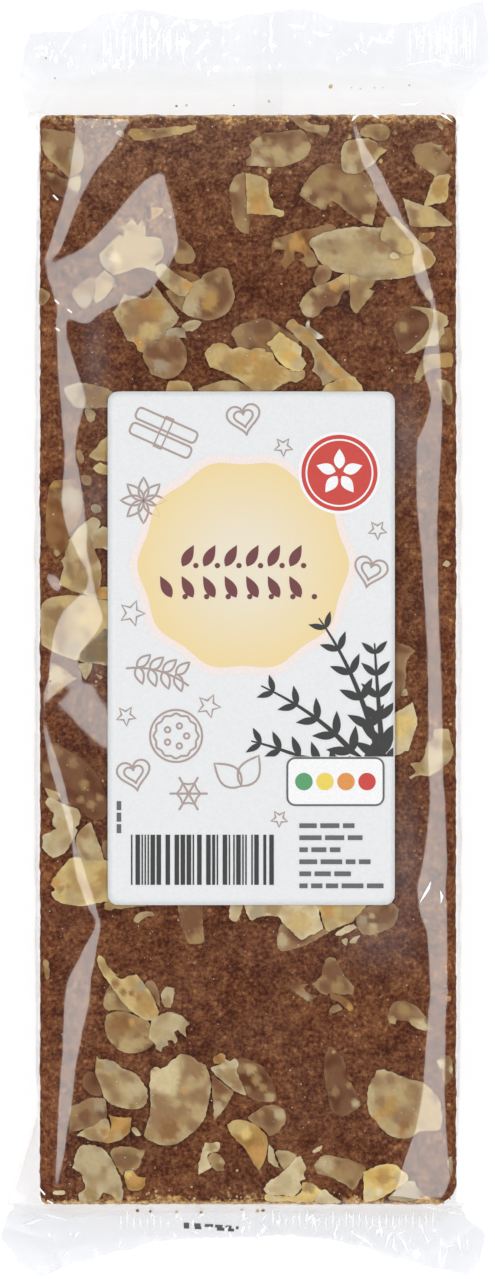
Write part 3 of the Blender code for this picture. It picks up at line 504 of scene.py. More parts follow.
    ("clear", [(-28.6, -40.8), (-26.5, -40.2), (-26.5, -43.4), (-28.2, -43.8)], []),
    ("yellow", [(-34.6, -43.7), (-36.4, -45.4), (-38.2, -47.6), (-38.9, -49, 1), (-38, -50),
      (-38.8, -50.6, 1), (-38.4, -51.6), (-36.5, -52.8), (-33.5, -53.3), (-30.5, -53), (-27.2, -52.2, 1),
      (-26, -48), (-27.6, -44.2, 1), (-31, -44)],
     [(-38.1, -48.7, 1, "orange"), (-27.9, -47.6, 1.6, "honey"), (-37, -50, 0.6, "olive"),
      (-35.2, -49.6, 0.6, "olive"), (-34, -51.6, 1.6, "tan")]),
    ("pale", [(-40, -32.6, 1), (-39.2, -31.7), (-37.9, -32.1), (-36, -33.1), (-34.5, -33.6),
      (-33.3, -34, 1), (-33, -35.4), (-33.2, -36.8), (-33.9, -37.7, 1), (-33.6, -38.2), (-34, -39.6),
      (-35.2, -41.2, 1), (-36, -42.6), (-38.2, -43.7, 1), (-39.4, -43), (-40.5, -41.6, 1), (-40.4, -39.2),
      (-39.1, -38.6), (-37.7, -37.8, 1), (-38.6, -36.8), (-38.2, -35), (-39, -34.2)],
     [(-37, -38, 1.6, "tan"), (-34.2, -35.6, 1.2, "tan")]),
    ("tan", [(-30.9, -36.4, 1), (-30, -38.8), (-28.8, -42), (-28.1, -44.2, 1), (-30, -44.3),
      (-31.5, -44.8, 1), (-32.6, -44.2), (-33.4, -42), (-33.9, -39.8), (-33, -38.2), (-31.8, -37.2)],
     [(-32.2, -38.4, 1.3, "clear"), (-31, -41.6, 1.6, "pale")]),
    ("dark", [(30.5, 41.8), (33, 42), (33.4, 41), (31.5, 40), (30.6, 40)], []),
    ("clear", [(28, -0.8), (31, -0.9), (32.8, -1.6), (33.9, -2.4, 1), (32.5, -3.8), (32, -5.6), (32, -8),
      (31.8, -10), (30.6, -11.8), (28, -12.4)], []),
    ("tan", [(31, -11.3), (31.6, -10.2), (32.2, -10), (32.3, -11.2, 1)], []),
    ("cream", [(33.3, -12.7, 1), (34, -14.8), (34.3, -16.6), (33.6, -19), (33, -21), (32.5, -22.3, 1),
      (28, -23.3), (28, -19), (28, -16.3)], [(31, -17, 2.6, "bright"), (30, -22, 1.6, "cream")]),
    ("tan", [(37.8, -18), (40.5, -18, 1), (40.9, -19.6), (41.4, -21.6), (41.6, -23.2, 1), (40.5, -24.6),
      (39.2, -25.8), (36.6, -27.4, 1), (35, -27.2), (33.9, -27.4), (33, -28, 1), (32.6, -27.6),
      (33.8, -26.8), (33.6, -25.8), (32.9, -24.9, 1), (34.4, -24.6), (35, -24.4), (35.8, -23),
      (36.2, -20.6), (37.4, -20)],
     [(37.8, -23.4, 2, "pale"), (40.3, -21.4, 1, "olive"), (34.4, -25.8, 1, "olive")]),
    ("tan", [(39.4, 14.7), (40, 15.7), (40.8, 15.2), (40.4, 14.4)], []),
    ("olive", [(-28.2, -53.5), (-27.3, -52.2), (-22, -51.5), (-19.8, -53.3, 1), (-23.6, -53.6),
      (-24.9, -54, 1), (-26, -53.6), (-26.8, -54.2, 1), (-28, -54)], []),
    ("tan", [(-22.3, -56.3), (-21.9, -55.2), (-20.6, -54.5), (-19, -54.4), (-18.2, -54.9),
      (-18.4, -55.4, 1), (-19.6, -55.4), (-20.6, -56), (-21.6, -56.7)], []),
    ("clear", [(-13.3, -52.4), (-8.8, -52.4), (-8.6, -56), (-8.3, -58.5), (-8.2, -60.2, 1), (-9, -60.8),
      (-11.2, -60.8, 1), (-12.4, -58.6), (-13.1, -56)],
     [(-10.8, -56, 2.6, "dark"), (-9.4, -60, 1, "olive")]),
    ("cream", [(-2.7, -52.4), (-0.6, -52.4), (-1.1, -55.4), (-2, -56.5), (-3, -56), (-3.2, -54.8)], []),
    ("clear", [(7.2, -57), (6.5, -58.6), (6.3, -60.8), (7, -62.2), (8.2, -62.3), (10, -61.8), (12.5, -60.9),
      (15, -59.6), (16.6, -58.6), (15, -57.6), (9, -57)],
     [(7.2, -60, 1.3, "pale"), (14.4, -59.6, 1, "olive")]),
    ("clear", [(22, -55.4), (24, -53.6), (29, -52.4, 1), (30.5, -53.8), (30.4, -55.2), (29.5, -57.4),
      (27.2, -58.4), (25, -59.2, 1), (22.8, -58.4)],
     [(25.3, -55.4, 0.8, "pale"), (25.5, -57.2, 0.8, "pale"), (25.6, -58.8, 1.1, "tan"),
      (28, -55, 1.6, "dark"), (23.4, -56, 1.2, "mauve")]),
    ("yellow", [(14.2, -52.2), (23.6, -52.4), (23.2, -54.4), (22, -55.4), (21.6, -56.2), (20, -56.9),
      (18.4, -57.6), (16.8, -58.4, 1), (16, -57.9), (15.3, -56.2), (14.9, -54.4)],
     [(16.3, -54.2, 1.2, "orange"), (17, -57, 1.3, "tan"), (20.6, -54.6, 1.8, "tan")]),
    ("cream", [(0.9, -52.2), (13.8, -52.2, 1), (14.6, -54.2), (14.9, -55.8), (15.5, -57.7, 1),
      (14.6, -58.4), (13.8, -58.9), (12.8, -59.1), (11.4, -60), (10.4, -59.6), (9, -58.2), (7.4, -56.6),
      (6.8, -55.7), (5.4, -55.3), (3.8, -55.2), (2.4, -55.7), (1.4, -56.2, 1), (0.6, -55.4)],
     [(2.4, -54.2, 1.8, "mauve"), (5.6, -53.6, 1.6, "olive"), (10.6, -56.6, 2.4, "yellow")]),
    ("cream", [(17.9, -58.9, 1), (19.2, -57.8), (21.6, -56.8, 1), (22.2, -57.6, 1), (20.4, -58.6),
      (18.4, -59.3)], []),
    ("pale", [(20.8, -60.6), (21.6, -59.6), (22.9, -59.2, 1), (22, -60.8, 1)], []),
    ("pale", [(19.2, -60.1), (20.3, -59.8), (20.1, -61.3, 1), (19.6, -61)], []),
    ("clear", [(15.6, -64.8), (16.4, -63.6), (17.6, -63.7), (18.8, -65.2), (20, -67.4), (21.7, -69.4, 1),
      (21.5, -71, 1), (19, -70.9), (16.8, -70.7), (16, -71.2), (14, -69.6), (13.2, -68.8, 1), (15, -67.4),
      (15.3, -66)], [(18.3, -69.4, 1.3, "olive"), (17.4, -66.2, 1.8, "dark"), (16, -69.6, 1.2, "dark")]),
    ("clear", [(8.4, -69.3), (10, -69.1), (12.6, -68.9, 1), (11.5, -69.6), (12.6, -70.7), (14.3, -71.2, 1),
      (13.4, -72), (12.3, -72.3, 1), (10.8, -71.2)], [(12.2, -71.8, 0.9, "mauve")]),
    ("brown", [(18.9, -71.2), (20, -71.8), (21.4, -73.2), (21.6, -74.8, 1), (20.8, -74.4), (19.6, -73.4),
      (18.6, -72.4), (17.2, -71.9), (16.9, -70.8)], [(20.8, -73.6, 0.8, "orange")]),
    ("clear", [(16.5, -74.5), (17.6, -73.2), (18.6, -73), (19.4, -73.8), (18, -74.5)], []),
    ("clear", [(28.8, -74), (29.6, -72.6), (31.4, -72.2), (33.4, -72.8), (35, -74.2), (36.4, -76),
      (37.2, -77.9, 1), (35.6, -78.1), (33.6, -77.4), (32.4, -76.4), (31, -76.1), (30.1, -76.2),
      (29.9, -76.9, 1), (28.6, -76.7, 1), (28.4, -75.4)],
     [(35.2, -77.4, 1.6, "cream"), (29.4, -76.3, 0.9, "tan"), (31.6, -74, 1.2, "olive"),
      (33.4, -76.8, 1, "tan")]),
    ("olive", [(-28.4, -73.2), (-28, -71), (-27.2, -69.2), (-26.4, -69.6), (-24.5, -72.2), (-22, -74.6),
      (-24, -74.4), (-26.2, -74), (-27.2, -74.3, 1)], [(-27.2, -71.4, 1.2, "tan")]),
    ("clear", [(-20, -68.6), (-18.8, -68.2), (-17.8, -69.2), (-17.3, -71.4), (-17, -73.8, 1), (-18.4, -72),
      (-19.6, -70)], []),
    ("olive", [(-27.9, -75.6), (-26.4, -74.5), (-24, -74.4), (-21.5, -75.3), (-19.6, -76.2), (-18.6, -78),
      (-18.2, -80), (-19, -81.4), (-20.6, -82.3), (-23, -82.7), (-25.2, -82), (-27, -80.4), (-28, -78)],
     [(-25.2, -77, 2, "brown"), (-22.7, -76.3, 0.8, "orange"), (-24, -81.4, 1.6, "tan"),
      (-21, -80.6, 1.8, "tan"), (-20.6, -77.6, 1, "clear"), (-26, -79, 1, "clear")]),
    ("yellow", [(-29.4, -63.2), (-28.4, -63.6), (-27.4, -65.4), (-25.6, -67.4), (-24.8, -67.9, 1),
      (-23.4, -67.3), (-22.2, -66.9), (-21.9, -66.7, 1), (-20.6, -68.4), (-19.4, -70), (-18.2, -72.2),
      (-17.2, -74.4, 1), (-17.8, -75.8), (-18.6, -76.2, 1), (-20.5, -75.8), (-22.6, -74.4), (-24.6, -72.4),
      (-26.3, -70), (-28.2, -67.4), (-29.4, -65)],
     [(-26, -68.7, 0.8, "brown"), (-24.4, -70.4, 0.7, "brown"), (-21.4, -71.6, 0.9, "toast"),
      (-22.6, -70.6, 0.6, "brown"), (-20.8, -69.4, 1.2, "mauve"), (-28, -65.4, 1.4, "olive"),
      (-19.4, -73.4, 1.4, "honey")]),
    ("pale", [(-18.6, -76.2, 1), (-17, -75), (-15.4, -74.4), (-13.8, -74.8), (-12.2, -75.6),
      (-11.1, -77, 1), (-12, -77.5), (-11.8, -79.5, 1), (-12.6, -78.8), (-13.6, -78), (-14.2, -78.4, 1),
      (-13.7, -80), (-14.1, -80.8, 1), (-14.8, -79.9), (-15.6, -80.2), (-15.4, -81), (-16.4, -81.4, 1),
      (-16.9, -82.4, 1), (-17.8, -81.9), (-18, -80.8), (-19.3, -79.4), (-19.1, -77.6)],
     [(-17.8, -78.4, 1.3, "tan"), (-16.6, -81, 1.1, "mauve")]),
    ("pale", [(-16.8, -71.6), (-16.5, -70.2), (-15.6, -69.4, 1), (-14.2, -69.8, 1), (-14.4, -71.6),
      (-14.9, -73.6, 1), (-16.3, -73.4)], [(-15.8, -72.6, 1, "olive")]),
    ("olive", [(-40.4, -64.4), (-39.4, -64.3), (-39.1, -67), (-39.8, -68)], []),
    ("dark", [(-32.6, -88.4), (-32.2, -87), (-31, -86.3), (-29.4, -87.6), (-28.6, -90.6), (-30.2, -91.2),
      (-31.6, -90.2)], []),
    ("tan", [(-29.7, -83.3, 1), (-28.6, -84), (-27.6, -83.9), (-25.6, -84.8), (-24.4, -85.9, 1),
      (-23.4, -86), (-21.6, -87), (-20.6, -88.4), (-19.6, -90.2), (-19.7, -92.4), (-21, -93.7),
      (-24, -93.7), (-26.4, -93), (-28.2, -91.4), (-29.2, -88.6), (-30, -86.6, 1)],
     [(-26.8, -85.2, 1.2, "mauve"), (-26.6, -88, 1, "olive"), (-22.6, -93.3, 0.7, "clear"),
      (-22, -90, 2, "pale"), (-29.4, -85, 0.9, "olive")]),
    ("tan", [(-18.9, -86.2, 1), (-17.9, -85.4), (-17, -85.9, 1), (-15.8, -85.2), (-15.2, -84.6),
      (-14, -83.6), (-12.8, -82.8, 1), (-11, -83.2), (-9.6, -84.2), (-8, -84.9, 1), (-7.2, -87),
      (-6.9, -89), (-7.3, -92), (-8.2, -95.6), (-9.6, -97.6), (-11.4, -99.2), (-14, -100.8),
      (-15.8, -101.1), (-18, -100.6), (-19.6, -99.9), (-20.3, -99, 1), (-19.6, -96.6), (-19, -94.6),
      (-19, -91.4), (-19.1, -88)],
     [(-16.6, -88, 3.4, "cream"), (-16.6, -95.4, 3, "clear"), (-13, -94.4, 1.8, "clear"),
      (-10.2, -91.6, 1.2, "clear"), (-9.8, -86, 1.5, "clear"), (-15.6, -98, 2, "brown"),
      (-13.8, -92.6, 0.9, "tan"), (-12.2, -96, 1.2, "olive"), (-12, -90.3, 0.5, "orange"),
      (-17, -92.2, 1.6, "clear"), (-18.8, -98.6, 1.2, "olive")]),
    ("dark", [(-1.8, -84.2), (0.6, -84), (3.6, -85.6), (5.6, -88.6), (6.2, -91.2), (6.5, -92.1, 1),
      (4.8, -92.4), (2.4, -92.2), (0, -91), (-2, -89.6)],
     [(2.2, -88.2, 1.3, "olive"), (3.4, -89.4, 0.8, "olive"), (5, -91.6, 0.9, "tan"),
      (-0.8, -85.8, 1, "clear"), (1, -86, 1, "tan"), (0.4, -90, 0.8, "clear")]),
    ("pale", [(-6.9, -85.6, 1), (-5.6, -85), (-4.9, -84.8), (-4.4, -83.6), (-3.2, -84.2), (-2.1, -83.6, 1),
      (-1.4, -84.8), (-1.8, -86), (-1.4, -87.2), (-0.8, -88.4), (-0.4, -89.6), (0.3, -91.2, 1),
      (-2.2, -90.2), (-4.4, -88.4), (-6, -86.9)],
     [(-4.6, -85.4, 0.8, "cream"), (-3, -87.4, 1.4, "olive"), (-1.6, -89, 1.2, "clear")]),
    ("honey", [(-6.3, -84.6), (-6.2, -83.4), (-4.9, -82.7), (-4.1, -83), (-4.1, -84), (-5, -84.7)],
     [(-5.6, -83.7, 0.6, "brown")]),
    ("clear", [(-6.6, -87.2), (-4.6, -88.6), (-2.4, -90.2, 1), (-2.8, -91.4), (-4, -93.4), (-5.2, -95),
      (-5.9, -95.9, 1), (-6.4, -95.2), (-6.5, -92.4), (-6.7, -89.6)],
     [(-5.4, -93.9, 1.5, "pale"), (-4, -91.6, 0.9, "tan"), (-5, -89.6, 1.2, "dark")]),
    ("clear", [(-35.1, -93.6), (-33.8, -92.9), (-32.6, -92.4, 1), (-31.4, -91.6), (-29.4, -91.6),
      (-28, -91.9, 1), (-27.6, -94), (-27.8, -95.8), (-29.6, -97.6), (-33, -98), (-35.3, -98.6, 1),
      (-35.1, -96)],
     [(-28.9, -93.4, 1.2, "mauve"), (-34.4, -94.4, 0.9, "olive"), (-32, -95.4, 1.3, "dark")]),
    ("tan", [(-33.6, -99), (-31.8, -97.6), (-30, -97), (-28.6, -95.8), (-27.4, -95.9), (-27, -98),
      (-27.8, -99.8), (-28.8, -100.4, 1), (-30.6, -100), (-32.4, -99.3)],
     [(-28.2, -98.4, 0.6, "toast"), (-31, -98.6, 1.2, "olive")]),
    ("honey", [(-27.4, -94.8, 1), (-26, -95.4), (-24.6, -95.4), (-22.6, -95.5, 1), (-22.9, -97),
      (-23, -98.2, 1), (-24.2, -99.4), (-25.8, -100.3), (-27.6, -100.6, 1), (-28.6, -100.3), (-27.4, -98.6),
      (-26.8, -97)], [(-25.6, -97, 1.4, "orange"), (-25.4, -99.4, 1, "tan")]),
    ("pale", [(-22.8, -97.8), (-22.2, -97.4), (-21.2, -98.2), (-20.9, -99), (-21.8, -99.1)], []),
    ("olive", [(-27, -102.6), (-25.4, -101.4), (-23, -101.4), (-21.6, -101.8), (-19.8, -102.1, 1),
      (-20.6, -103.6), (-21.2, -105.2), (-22.4, -106.1), (-24, -106.1), (-24.8, -106.9)],
     [(-20.9, -102.9, 0.9, "tan")]),
    ("pale", [(-34.6, -105.6, 1), (-34, -103.6), (-33.8, -102.6), (-33, -101.4), (-31.8, -101),
      (-30, -101.1), (-28.2, -102), (-26.9, -103.6), (-25.8, -105.6), (-24.8, -108), (-24.4, -110.4),
      (-24.6, -112, 1), (-25.4, -112.2), (-26.8, -111), (-28.4, -110.4, 1), (-29.4, -112), (-31, -112.3),
      (-33, -112.3, 1), (-33.3, -110.8), (-32, -109.6), (-32.6, -107.6), (-32.6, -106.8)],
     [(-31, -110.6, 1.4, "olive"), (-26.2, -111, 0.8, "yellow"), (-28.2, -106, 0.8, "olive"),
      (-32, -103.4, 1.6, "pale")]),
    ("honey", [(-24.2, -106.2, 1), (-22.6, -106.1), (-21.6, -107.2), (-19.9, -107.5, 1), (-20.4, -109.6),
      (-22.4, -110.2), (-23.6, -109.6), (-24, -108)],
     [(-22, -108.2, 1.2, "orange"), (-23.6, -106.8, 0.7, "bright")]),
    ("cream", [(-8.1, -100.6, 1), (-6.6, -100.6), (-5.3, -100.5), (-5.1, -101.3), (-5.6, -102.4, 1),
      (-7, -102.6), (-7.6, -103.4), (-7.2, -104.4), (-6.8, -105.4, 1), (-8.2, -106.4), (-9.4, -106.9, 1),
      (-9.3, -104.8), (-8.7, -102.4)], [(-6.8, -101.4, 1, "olive")]),
    ("olive", [(-7.5, -103.4), (-6.4, -102.5), (-5.4, -102.8), (-4.4, -103.8), (-4.2, -104.6),
      (-4.5, -106.2, 1), (-5.8, -106.1), (-6.8, -105)], [(-4.8, -104.2, 0.6, "tan")]),
    ("clear", [(0.6, -95.8), (2.2, -94.2), (4.4, -93.1), (6.2, -93.1), (7.6, -94), (8.1, -95.6),
      (7.6, -97.2), (6.2, -98.6), (4.8, -99.2), (3.6, -98)],
     [(6.9, -94.8, 1.2, "pale"), (4.4, -96.4, 0.7, "dark"), (3, -94.6, 1, "olive")]),
    ("honey", [(-3.6, -97, 1), (-2.6, -96.2), (-1, -95.9), (0.6, -96.4), (2.4, -97.4), (4, -98.8),
      (4.5, -100.4), (4.2, -102.8), (3.4, -105), (2.8, -106.2, 1), (1.2, -104), (0, -102), (-1, -100.8),
      (-2.4, -99.4), (-3.3, -98)],
     [(2.4, -102.4, 1.9, "orange"), (-1.6, -97.4, 2, "yellow"), (0, -99, 1.2, "bright")]),
    ("tan", [(5.9, -102.4), (7, -102), (8.8, -102.3), (10.2, -103.2), (9.6, -104.4), (8.2, -105.6),
      (7.6, -105.9), (6.4, -103.6)], []),
    ("pale", [(4.6, -100.8, 1), (5.6, -102), (6, -103.6), (6.9, -105.7, 1), (5.2, -104.8), (4.4, -103.6)],
     [(5, -103.6, 0.8, "pale")]),
    ("bright", [(4, -110.8), (5.4, -111), (8, -111.2), (10, -111.2), (11.3, -110), (11.4, -108.6),
      (13.4, -108.8), (14.6, -109.8), (15.3, -110.2), (14.6, -111.6), (13.9, -112.4, 1), (11.4, -112.5),
      (8, -112.3), (5.4, -112.4), (4, -112)], [(12.4, -109.4, 1.3, "olive"), (6, -111.8, 1.3, "cream")]),
    ("cream", [(14, -112.4), (15.6, -109.9), (17, -111), (19, -112.5)], []),
    ("cream", [(3.6, -109.8, 1), (4.8, -108.2), (6.4, -107.2), (7.8, -106), (9, -104.8), (10, -103.6),
      (11, -103.2, 1), (11.7, -104.6), (12.1, -105.6), (11.7, -106.8), (12, -107.8, 1), (10.8, -108.2),
      (11.2, -109.2), (10.6, -110.4), (9.4, -111.4, 1), (7.8, -111.1), (6, -111), (4.4, -110.8)],
     [(7.6, -108.4, 1.6, "pale"), (11.5, -106.4, 0.7, "tan")]),
    ("dark", [(15.6, -85.2), (16, -83), (16.8, -81.4), (18.4, -82.4), (19.8, -84.4), (20.2, -87.6),
      (21.4, -89.2), (22.4, -91.2), (23.1, -92.8), (22, -94), (19.8, -95.3), (18.2, -95), (17.2, -94.2),
      (16.6, -92), (16, -89.2)],
     [(17.8, -90.6, 1.2, "clear"), (22.1, -92.6, 0.8, "pale"), (20.8, -89, 0.6, "olive")]),
    ("tan", [(24.4, -90.4), (25, -88.4), (25.8, -87.4), (26, -86.2, 1), (27.4, -86), (29, -86.4),
      (31, -87.2), (33, -88), (35, -88.4), (36.6, -89.4), (38, -91), (39, -92.8), (39, -94),
      (39.4, -95.2, 1), (39, -97.6), (38.2, -98.1), (36.6, -98.2), (34.4, -98.4, 1), (32.4, -99.7),
      (29.4, -99.4), (27.2, -97.8), (26, -96.2), (24.6, -94.4)],
     [(32, -95.4, 1.8, "clear"), (33, -90.8, 1.3, "olive"), (29, -87.8, 1, "clear"),
      (37, -94.4, 2.4, "tan"), (25.4, -91.4, 1.2, "pale"), (25.8, -95.6, 0.7, "orange"),
      (31.2, -98.3, 0.7, "toast"), (28.6, -93.6, 2, "honey"), (31.6, -97, 1, "brown")]),
    ("olive", [(38.2, -84.2), (39.8, -83.6), (40.6, -83.2), (41.2, -84), (41.4, -86.6), (40.8, -88),
      (39.9, -89.2, 1), (39.3, -87), (38.9, -85.8)], [(41, -86, 0.7, "cream"), (39, -85, 1, "pale")]),
    ("olive", [(13.7, -105.2), (14.6, -103.8), (15.8, -103.1), (18, -103.4), (20.4, -103.9), (23.4, -105),
      (24, -106), (22.4, -108.8), (21.4, -110, 1), (19.6, -108.8), (17, -107.4), (14.4, -106.6)],
     [(15.8, -105, 1.7, "pale"), (20, -105, 1.3, "clear"), (22, -107, 1.3, "clear"),
      (20.8, -107, 0.9, "olive")]),
    ("bright", [(23.5, -106.4, 1), (25.4, -105.6), (27, -104.9), (29, -104.8), (30.4, -105.2), (31, -106),
      (32.4, -107), (32.4, -108), (31.4, -109.2), (30, -109.8, 1), (28.4, -110.8), (26.8, -111.8),
      (25, -112.2), (24.2, -112.4), (23.7, -112.3), (23.6, -110)],
     [(31, -107.8, 1.3, "pale"), (24.6, -111, 1.2, "cream"), (27.4, -107.4, 1.8, "honey"),
      (26.8, -110.4, 0.6, "white")]),
    ("mauve", [(28.6, -111.6), (30, -110), (31.8, -108.6), (33.2, -108.1), (33.9, -108.3, 1), (34, -109.2),
      (34.9, -110.2), (34.9, -111.2), (34, -112), (32, -112.2), (30, -112)], []),
    ("cream", [(13.3, -102.5), (14, -101.7), (15.3, -101.1, 1), (14.8, -102.2), (13.8, -102.5)], []),
    ("mauve", [(40.3, -104.2), (41.2, -103.4), (41.4, -106), (41.1, -107.2), (40.7, -106)], []),
    ("cream", [(-38.4, -110.4), (-37.6, -110), (-36.2, -110.2), (-36.1, -110.9), (-37.4, -111.1),
      (-38.3, -110.9)], []),
]


def flakeOutline(points):
    # A smooth closed line through the points, straight towards each corner, with torn edges.
    outline = []
    for number, point in enumerate(points):
        start, end = Vector(point[:2]), Vector(points[(number + 1) % len(points)][:2])
        before = start if len(point) > 2 else Vector(points[number - 1][:2])
        last = points[(number + 2) % len(points)]
        after = end if len(points[(number + 1) % len(points)]) > 2 else Vector(last[:2])
        steps = max(2, round((end - start).length / slices["step"]))
        for step in range(steps):
            t = step / steps
            spot = 0.5 * (2 * start + (end - before) * t
                          + (2 * before - 5 * start + 4 * end - after) * t ** 2
                          + (3 * start - before - 3 * end + after) * t ** 3)
            across = Vector((end.y - start.y, start.x - end.x)).normalized()
            outline.append(spot + across * layeredNoise(Vector((*spot, 0)), slices["ragged"]))
    return outline


def cutAlong(bm, spot, facing):
    bmesh.ops.bisect_plane(bm, geom=bm.verts[:] + bm.edges[:] + bm.faces[:], dist=0.0001,
                           plane_co=spot, plane_no=facing)


def cutCells(bm, axis, low, high, pitch):
    # Cuts flat faces along a grid, so that they can bend.
    facing = Vector((axis == 0, axis == 1, 0))
    for cut in range(math.ceil(low / pitch), math.ceil(high / pitch)):
        cutAlong(bm, facing * cut * pitch, facing)


def fromOutline(spots, outline):
    # The distance of each spot to the nearest side of a closed outline.
    start = np.array(outline)
    run = np.roll(start, -1, axis=0) - start
    off = spots[:, None, :] - start[None, :, :]
    share = np.clip((off * run).sum(axis=2) / np.maximum((run ** 2).sum(axis=1), 1e-9), 0, 1)
    return np.linalg.norm(off - share[:, :, None] * run, axis=2).min(axis=1)


def flakeColor(tone, spots, inside, spot):
    middle, rim, patch = [Vector(srgb(hexColor)) for hexColor in almondTones[tone]]
    blotch = noise.noise(Vector((*spot, 0)) / slices["blotch"])
    fleck = noise.noise(Vector((*spot, 4)) / slices["fleck"])
    uneven = noise.noise(Vector((*spot, 8)) / slices["uneven"])
    base, byBlotch, byFleck = slices["patchShare"]
    color = middle.lerp(patch, smooth(base + byBlotch * blotch + byFleck * fleck))
    base, byUneven = slices["edgePatch"]
    edge = slices["edgeShare"] * smooth(1 - inside / slices["edgeReach"])
    color = color.lerp(rim, edge * smooth(base + byUneven * uneven))
    byBlotch, byFleck = slices["spotTorn"]
    end, fade, share = slices["spotFade"]
    for x, y, reach, spotTone in spots:
        off = (Vector((x, y)) - spot).length / reach + byBlotch * blotch + byFleck * fleck
        color = color.lerp(Vector(srgb(almondTones[spotTone][0])), share * smooth((end - off) / fade))
    return color * (1 + slices["fleckShade"] * fleck)


def fillOutline(bm, spots, height=0.0):
    # One flat face inside a closed line, its edges made in order so that hollows stay open.
    verts = [bm.verts.new((*spot, height)) for spot in spots]
    ring = [bm.edges.new((verts[number - 1], verts[number])) for number in range(len(verts))]
    bmesh.ops.contextual_create(bm, geom=ring)


def makeFlakes(material):
    bm = bmesh.new()
    tint = bm.verts.layers.float_color.new("almondTint")
    piled = {}      # how high the flakes lie so far, by cells
    for tone, points, spots in flakes:
        outline = flakeOutline(points)
        part = bmesh.new()
        fillOutline(part, outline)
        for axis in (0, 1):
            along = [spot[axis] for spot in outline]
            cutCells(part, axis, min(along), max(along), slices["cell"])
        bmesh.ops.triangulate(part, faces=[face for face in part.faces if len(face.verts) > 4])
        faceUp(part)
        addUnderside(part, 1)
        bmesh.ops.recalc_face_normals(part, faces=part.faces)
        spotsAt = np.array([vertex.co[:2] for vertex in part.verts])
        inside = fromOutline(spotsAt, outline)
        widest = min(1.0, 2 * inside.max() / slices["thin"])
        thickness = slices["thickness"] * (0.5 + 0.5 * widest)
        cells = {tuple(np.round(spot / slices["heightCell"]).astype(int)) for spot in spotsAt}
        lift = max(piled.get(cell, 0.0) for cell in cells)
        centre = spotsAt.mean(axis=0)
        reach = max(np.linalg.norm(spotsAt - centre, axis=1).max(), 1.0)
        for cell in cells:
            piled[cell] = lift + thickness + slices["lift"]
        for vertex in part.verts:
            spot = Vector(vertex.co[:2])
            below = vertex.co.z < -0.5
            far = (spot - Vector(centre)).length / reach
            wave = slices["wave"] * noise.noise(Vector((*spot, 9)) / slices["waveLength"])
            bend = (slices["cup"] * (far ** 2 - 0.4) + wave) * widest
            top = crustHeight(*spot) - slices["sunk"] + lift + thickness + bend
            top = min(top, filmHeight(*spot) - slices["underFilm"])
            vertex.co.z = top - (thickness if below else 0)
        cut = bpy.data.meshes.new("slice")
        part.to_mesh(cut)
        part.free()
        before = len(bm.verts)
        bm.from_mesh(cut)
        bpy.data.meshes.remove(cut)
        bm.verts.ensure_lookup_table()
        for vertex, depth in zip(bm.verts[before:], inside):
            vertex[tint] = flakeColor(tone, spots, depth, Vector(vertex.co[:2]))
    return addPiece("almond_flakes", bm, material, crisp=50)


def slicedAlmond():
    # Blanched almond cut in thin slices and lightly toasted: satin, brown and see-through
    # where it is thinnest, cream where it is thick, with faint veins.
    material, tree, surface, place = newMaterial("slicedAlmond")
    tint = addNode(tree, "Attribute", attribute_name="almondTint")
    veins = addNode(tree, "TexNoise", {"Scale": 620.0, "Detail": 5.0, "Roughness": 0.7,
                                       "Distortion": 0.5}, {"Vector": place})
    shade = addNode(tree, "MapRange", {1: 0.25, 2: 0.75, 3: 0.86, 4: 1.1}, {0: veins})
    color = addNode(tree, "VectorMath", links={0: tint.outputs["Color"], 1: shade},
                    operation="MULTIPLY")
    bump = addNode(tree, "Bump", {"Strength": 0.5, "Distance": 0.00012}, {"Height": veins})
    shader = addNode(tree, "BsdfPrincipled", {"Roughness": 0.5, "IOR": 1.47, "Specular IOR Level": 0.15},
                     {"Base Color": color, "Normal": bump})
    tree.links.new(shader.outputs[0], surface)
    return material


# Loose crumbs on the crust and in the ends of the pack

crumbs = {
    "seed": 11, "onCrust": 460, "radius": (0.12, 0.32), "rimShare": 0.45, "onFilm": 420,
    "dust": (0.06, 0.13), "dustTone": "e8e2da", "tones": ("c89c60", "b07c40", "945c2e", "dcc292"),
    "spread": 0.49, "filmSpread": 0.48, "rimDepth": 1.2, "rimInset": 0.2, "offLabel": 0.52,
    "aboveCrust": 0.12, "aboveFilm": 0.05, "filmFrom": 0.7, "lumpy": (0.7, 1.2),
    "lumps": [(40.6, -71.8, 0.7), (40.9, -78.6, 0.35), (40.9, -17, 0.35), (39.4, 104.7, 0.45),
              (40.9, 104.2, 0.5), (40.6, -93, 0.4), (17.6, -82.4, 0.5), (-40.3, -112, 0.4)],
    "strays": [(-40, 116.4, 0.25), (-38.2, 112.4, 0.2), (-13.8, 106.5, 0.3), (-11.8, 106.7, 0.3),
               (-2.3, 106.6, 0.2), (4.7, 107.5, 0.3), (17, 110.6, 0.55), (21.2, 110.4, 0.15),
               (23, 110.2, 0.15), (25.8, 110.4, 0.15), (27.5, 110.4, 0.15), (32.8, 110.9, 0.2),
               (-21.6, -114.4, 0.4), (-19.1, -114.6, 0.3), (-13.8, -114.7, 0.3), (-8.9, -114.9, 0.4),
               (-0.8, -114.2, 0.25), (2.4, -114.5, 0.5), (3.6, -114.4, 0.45)],
}


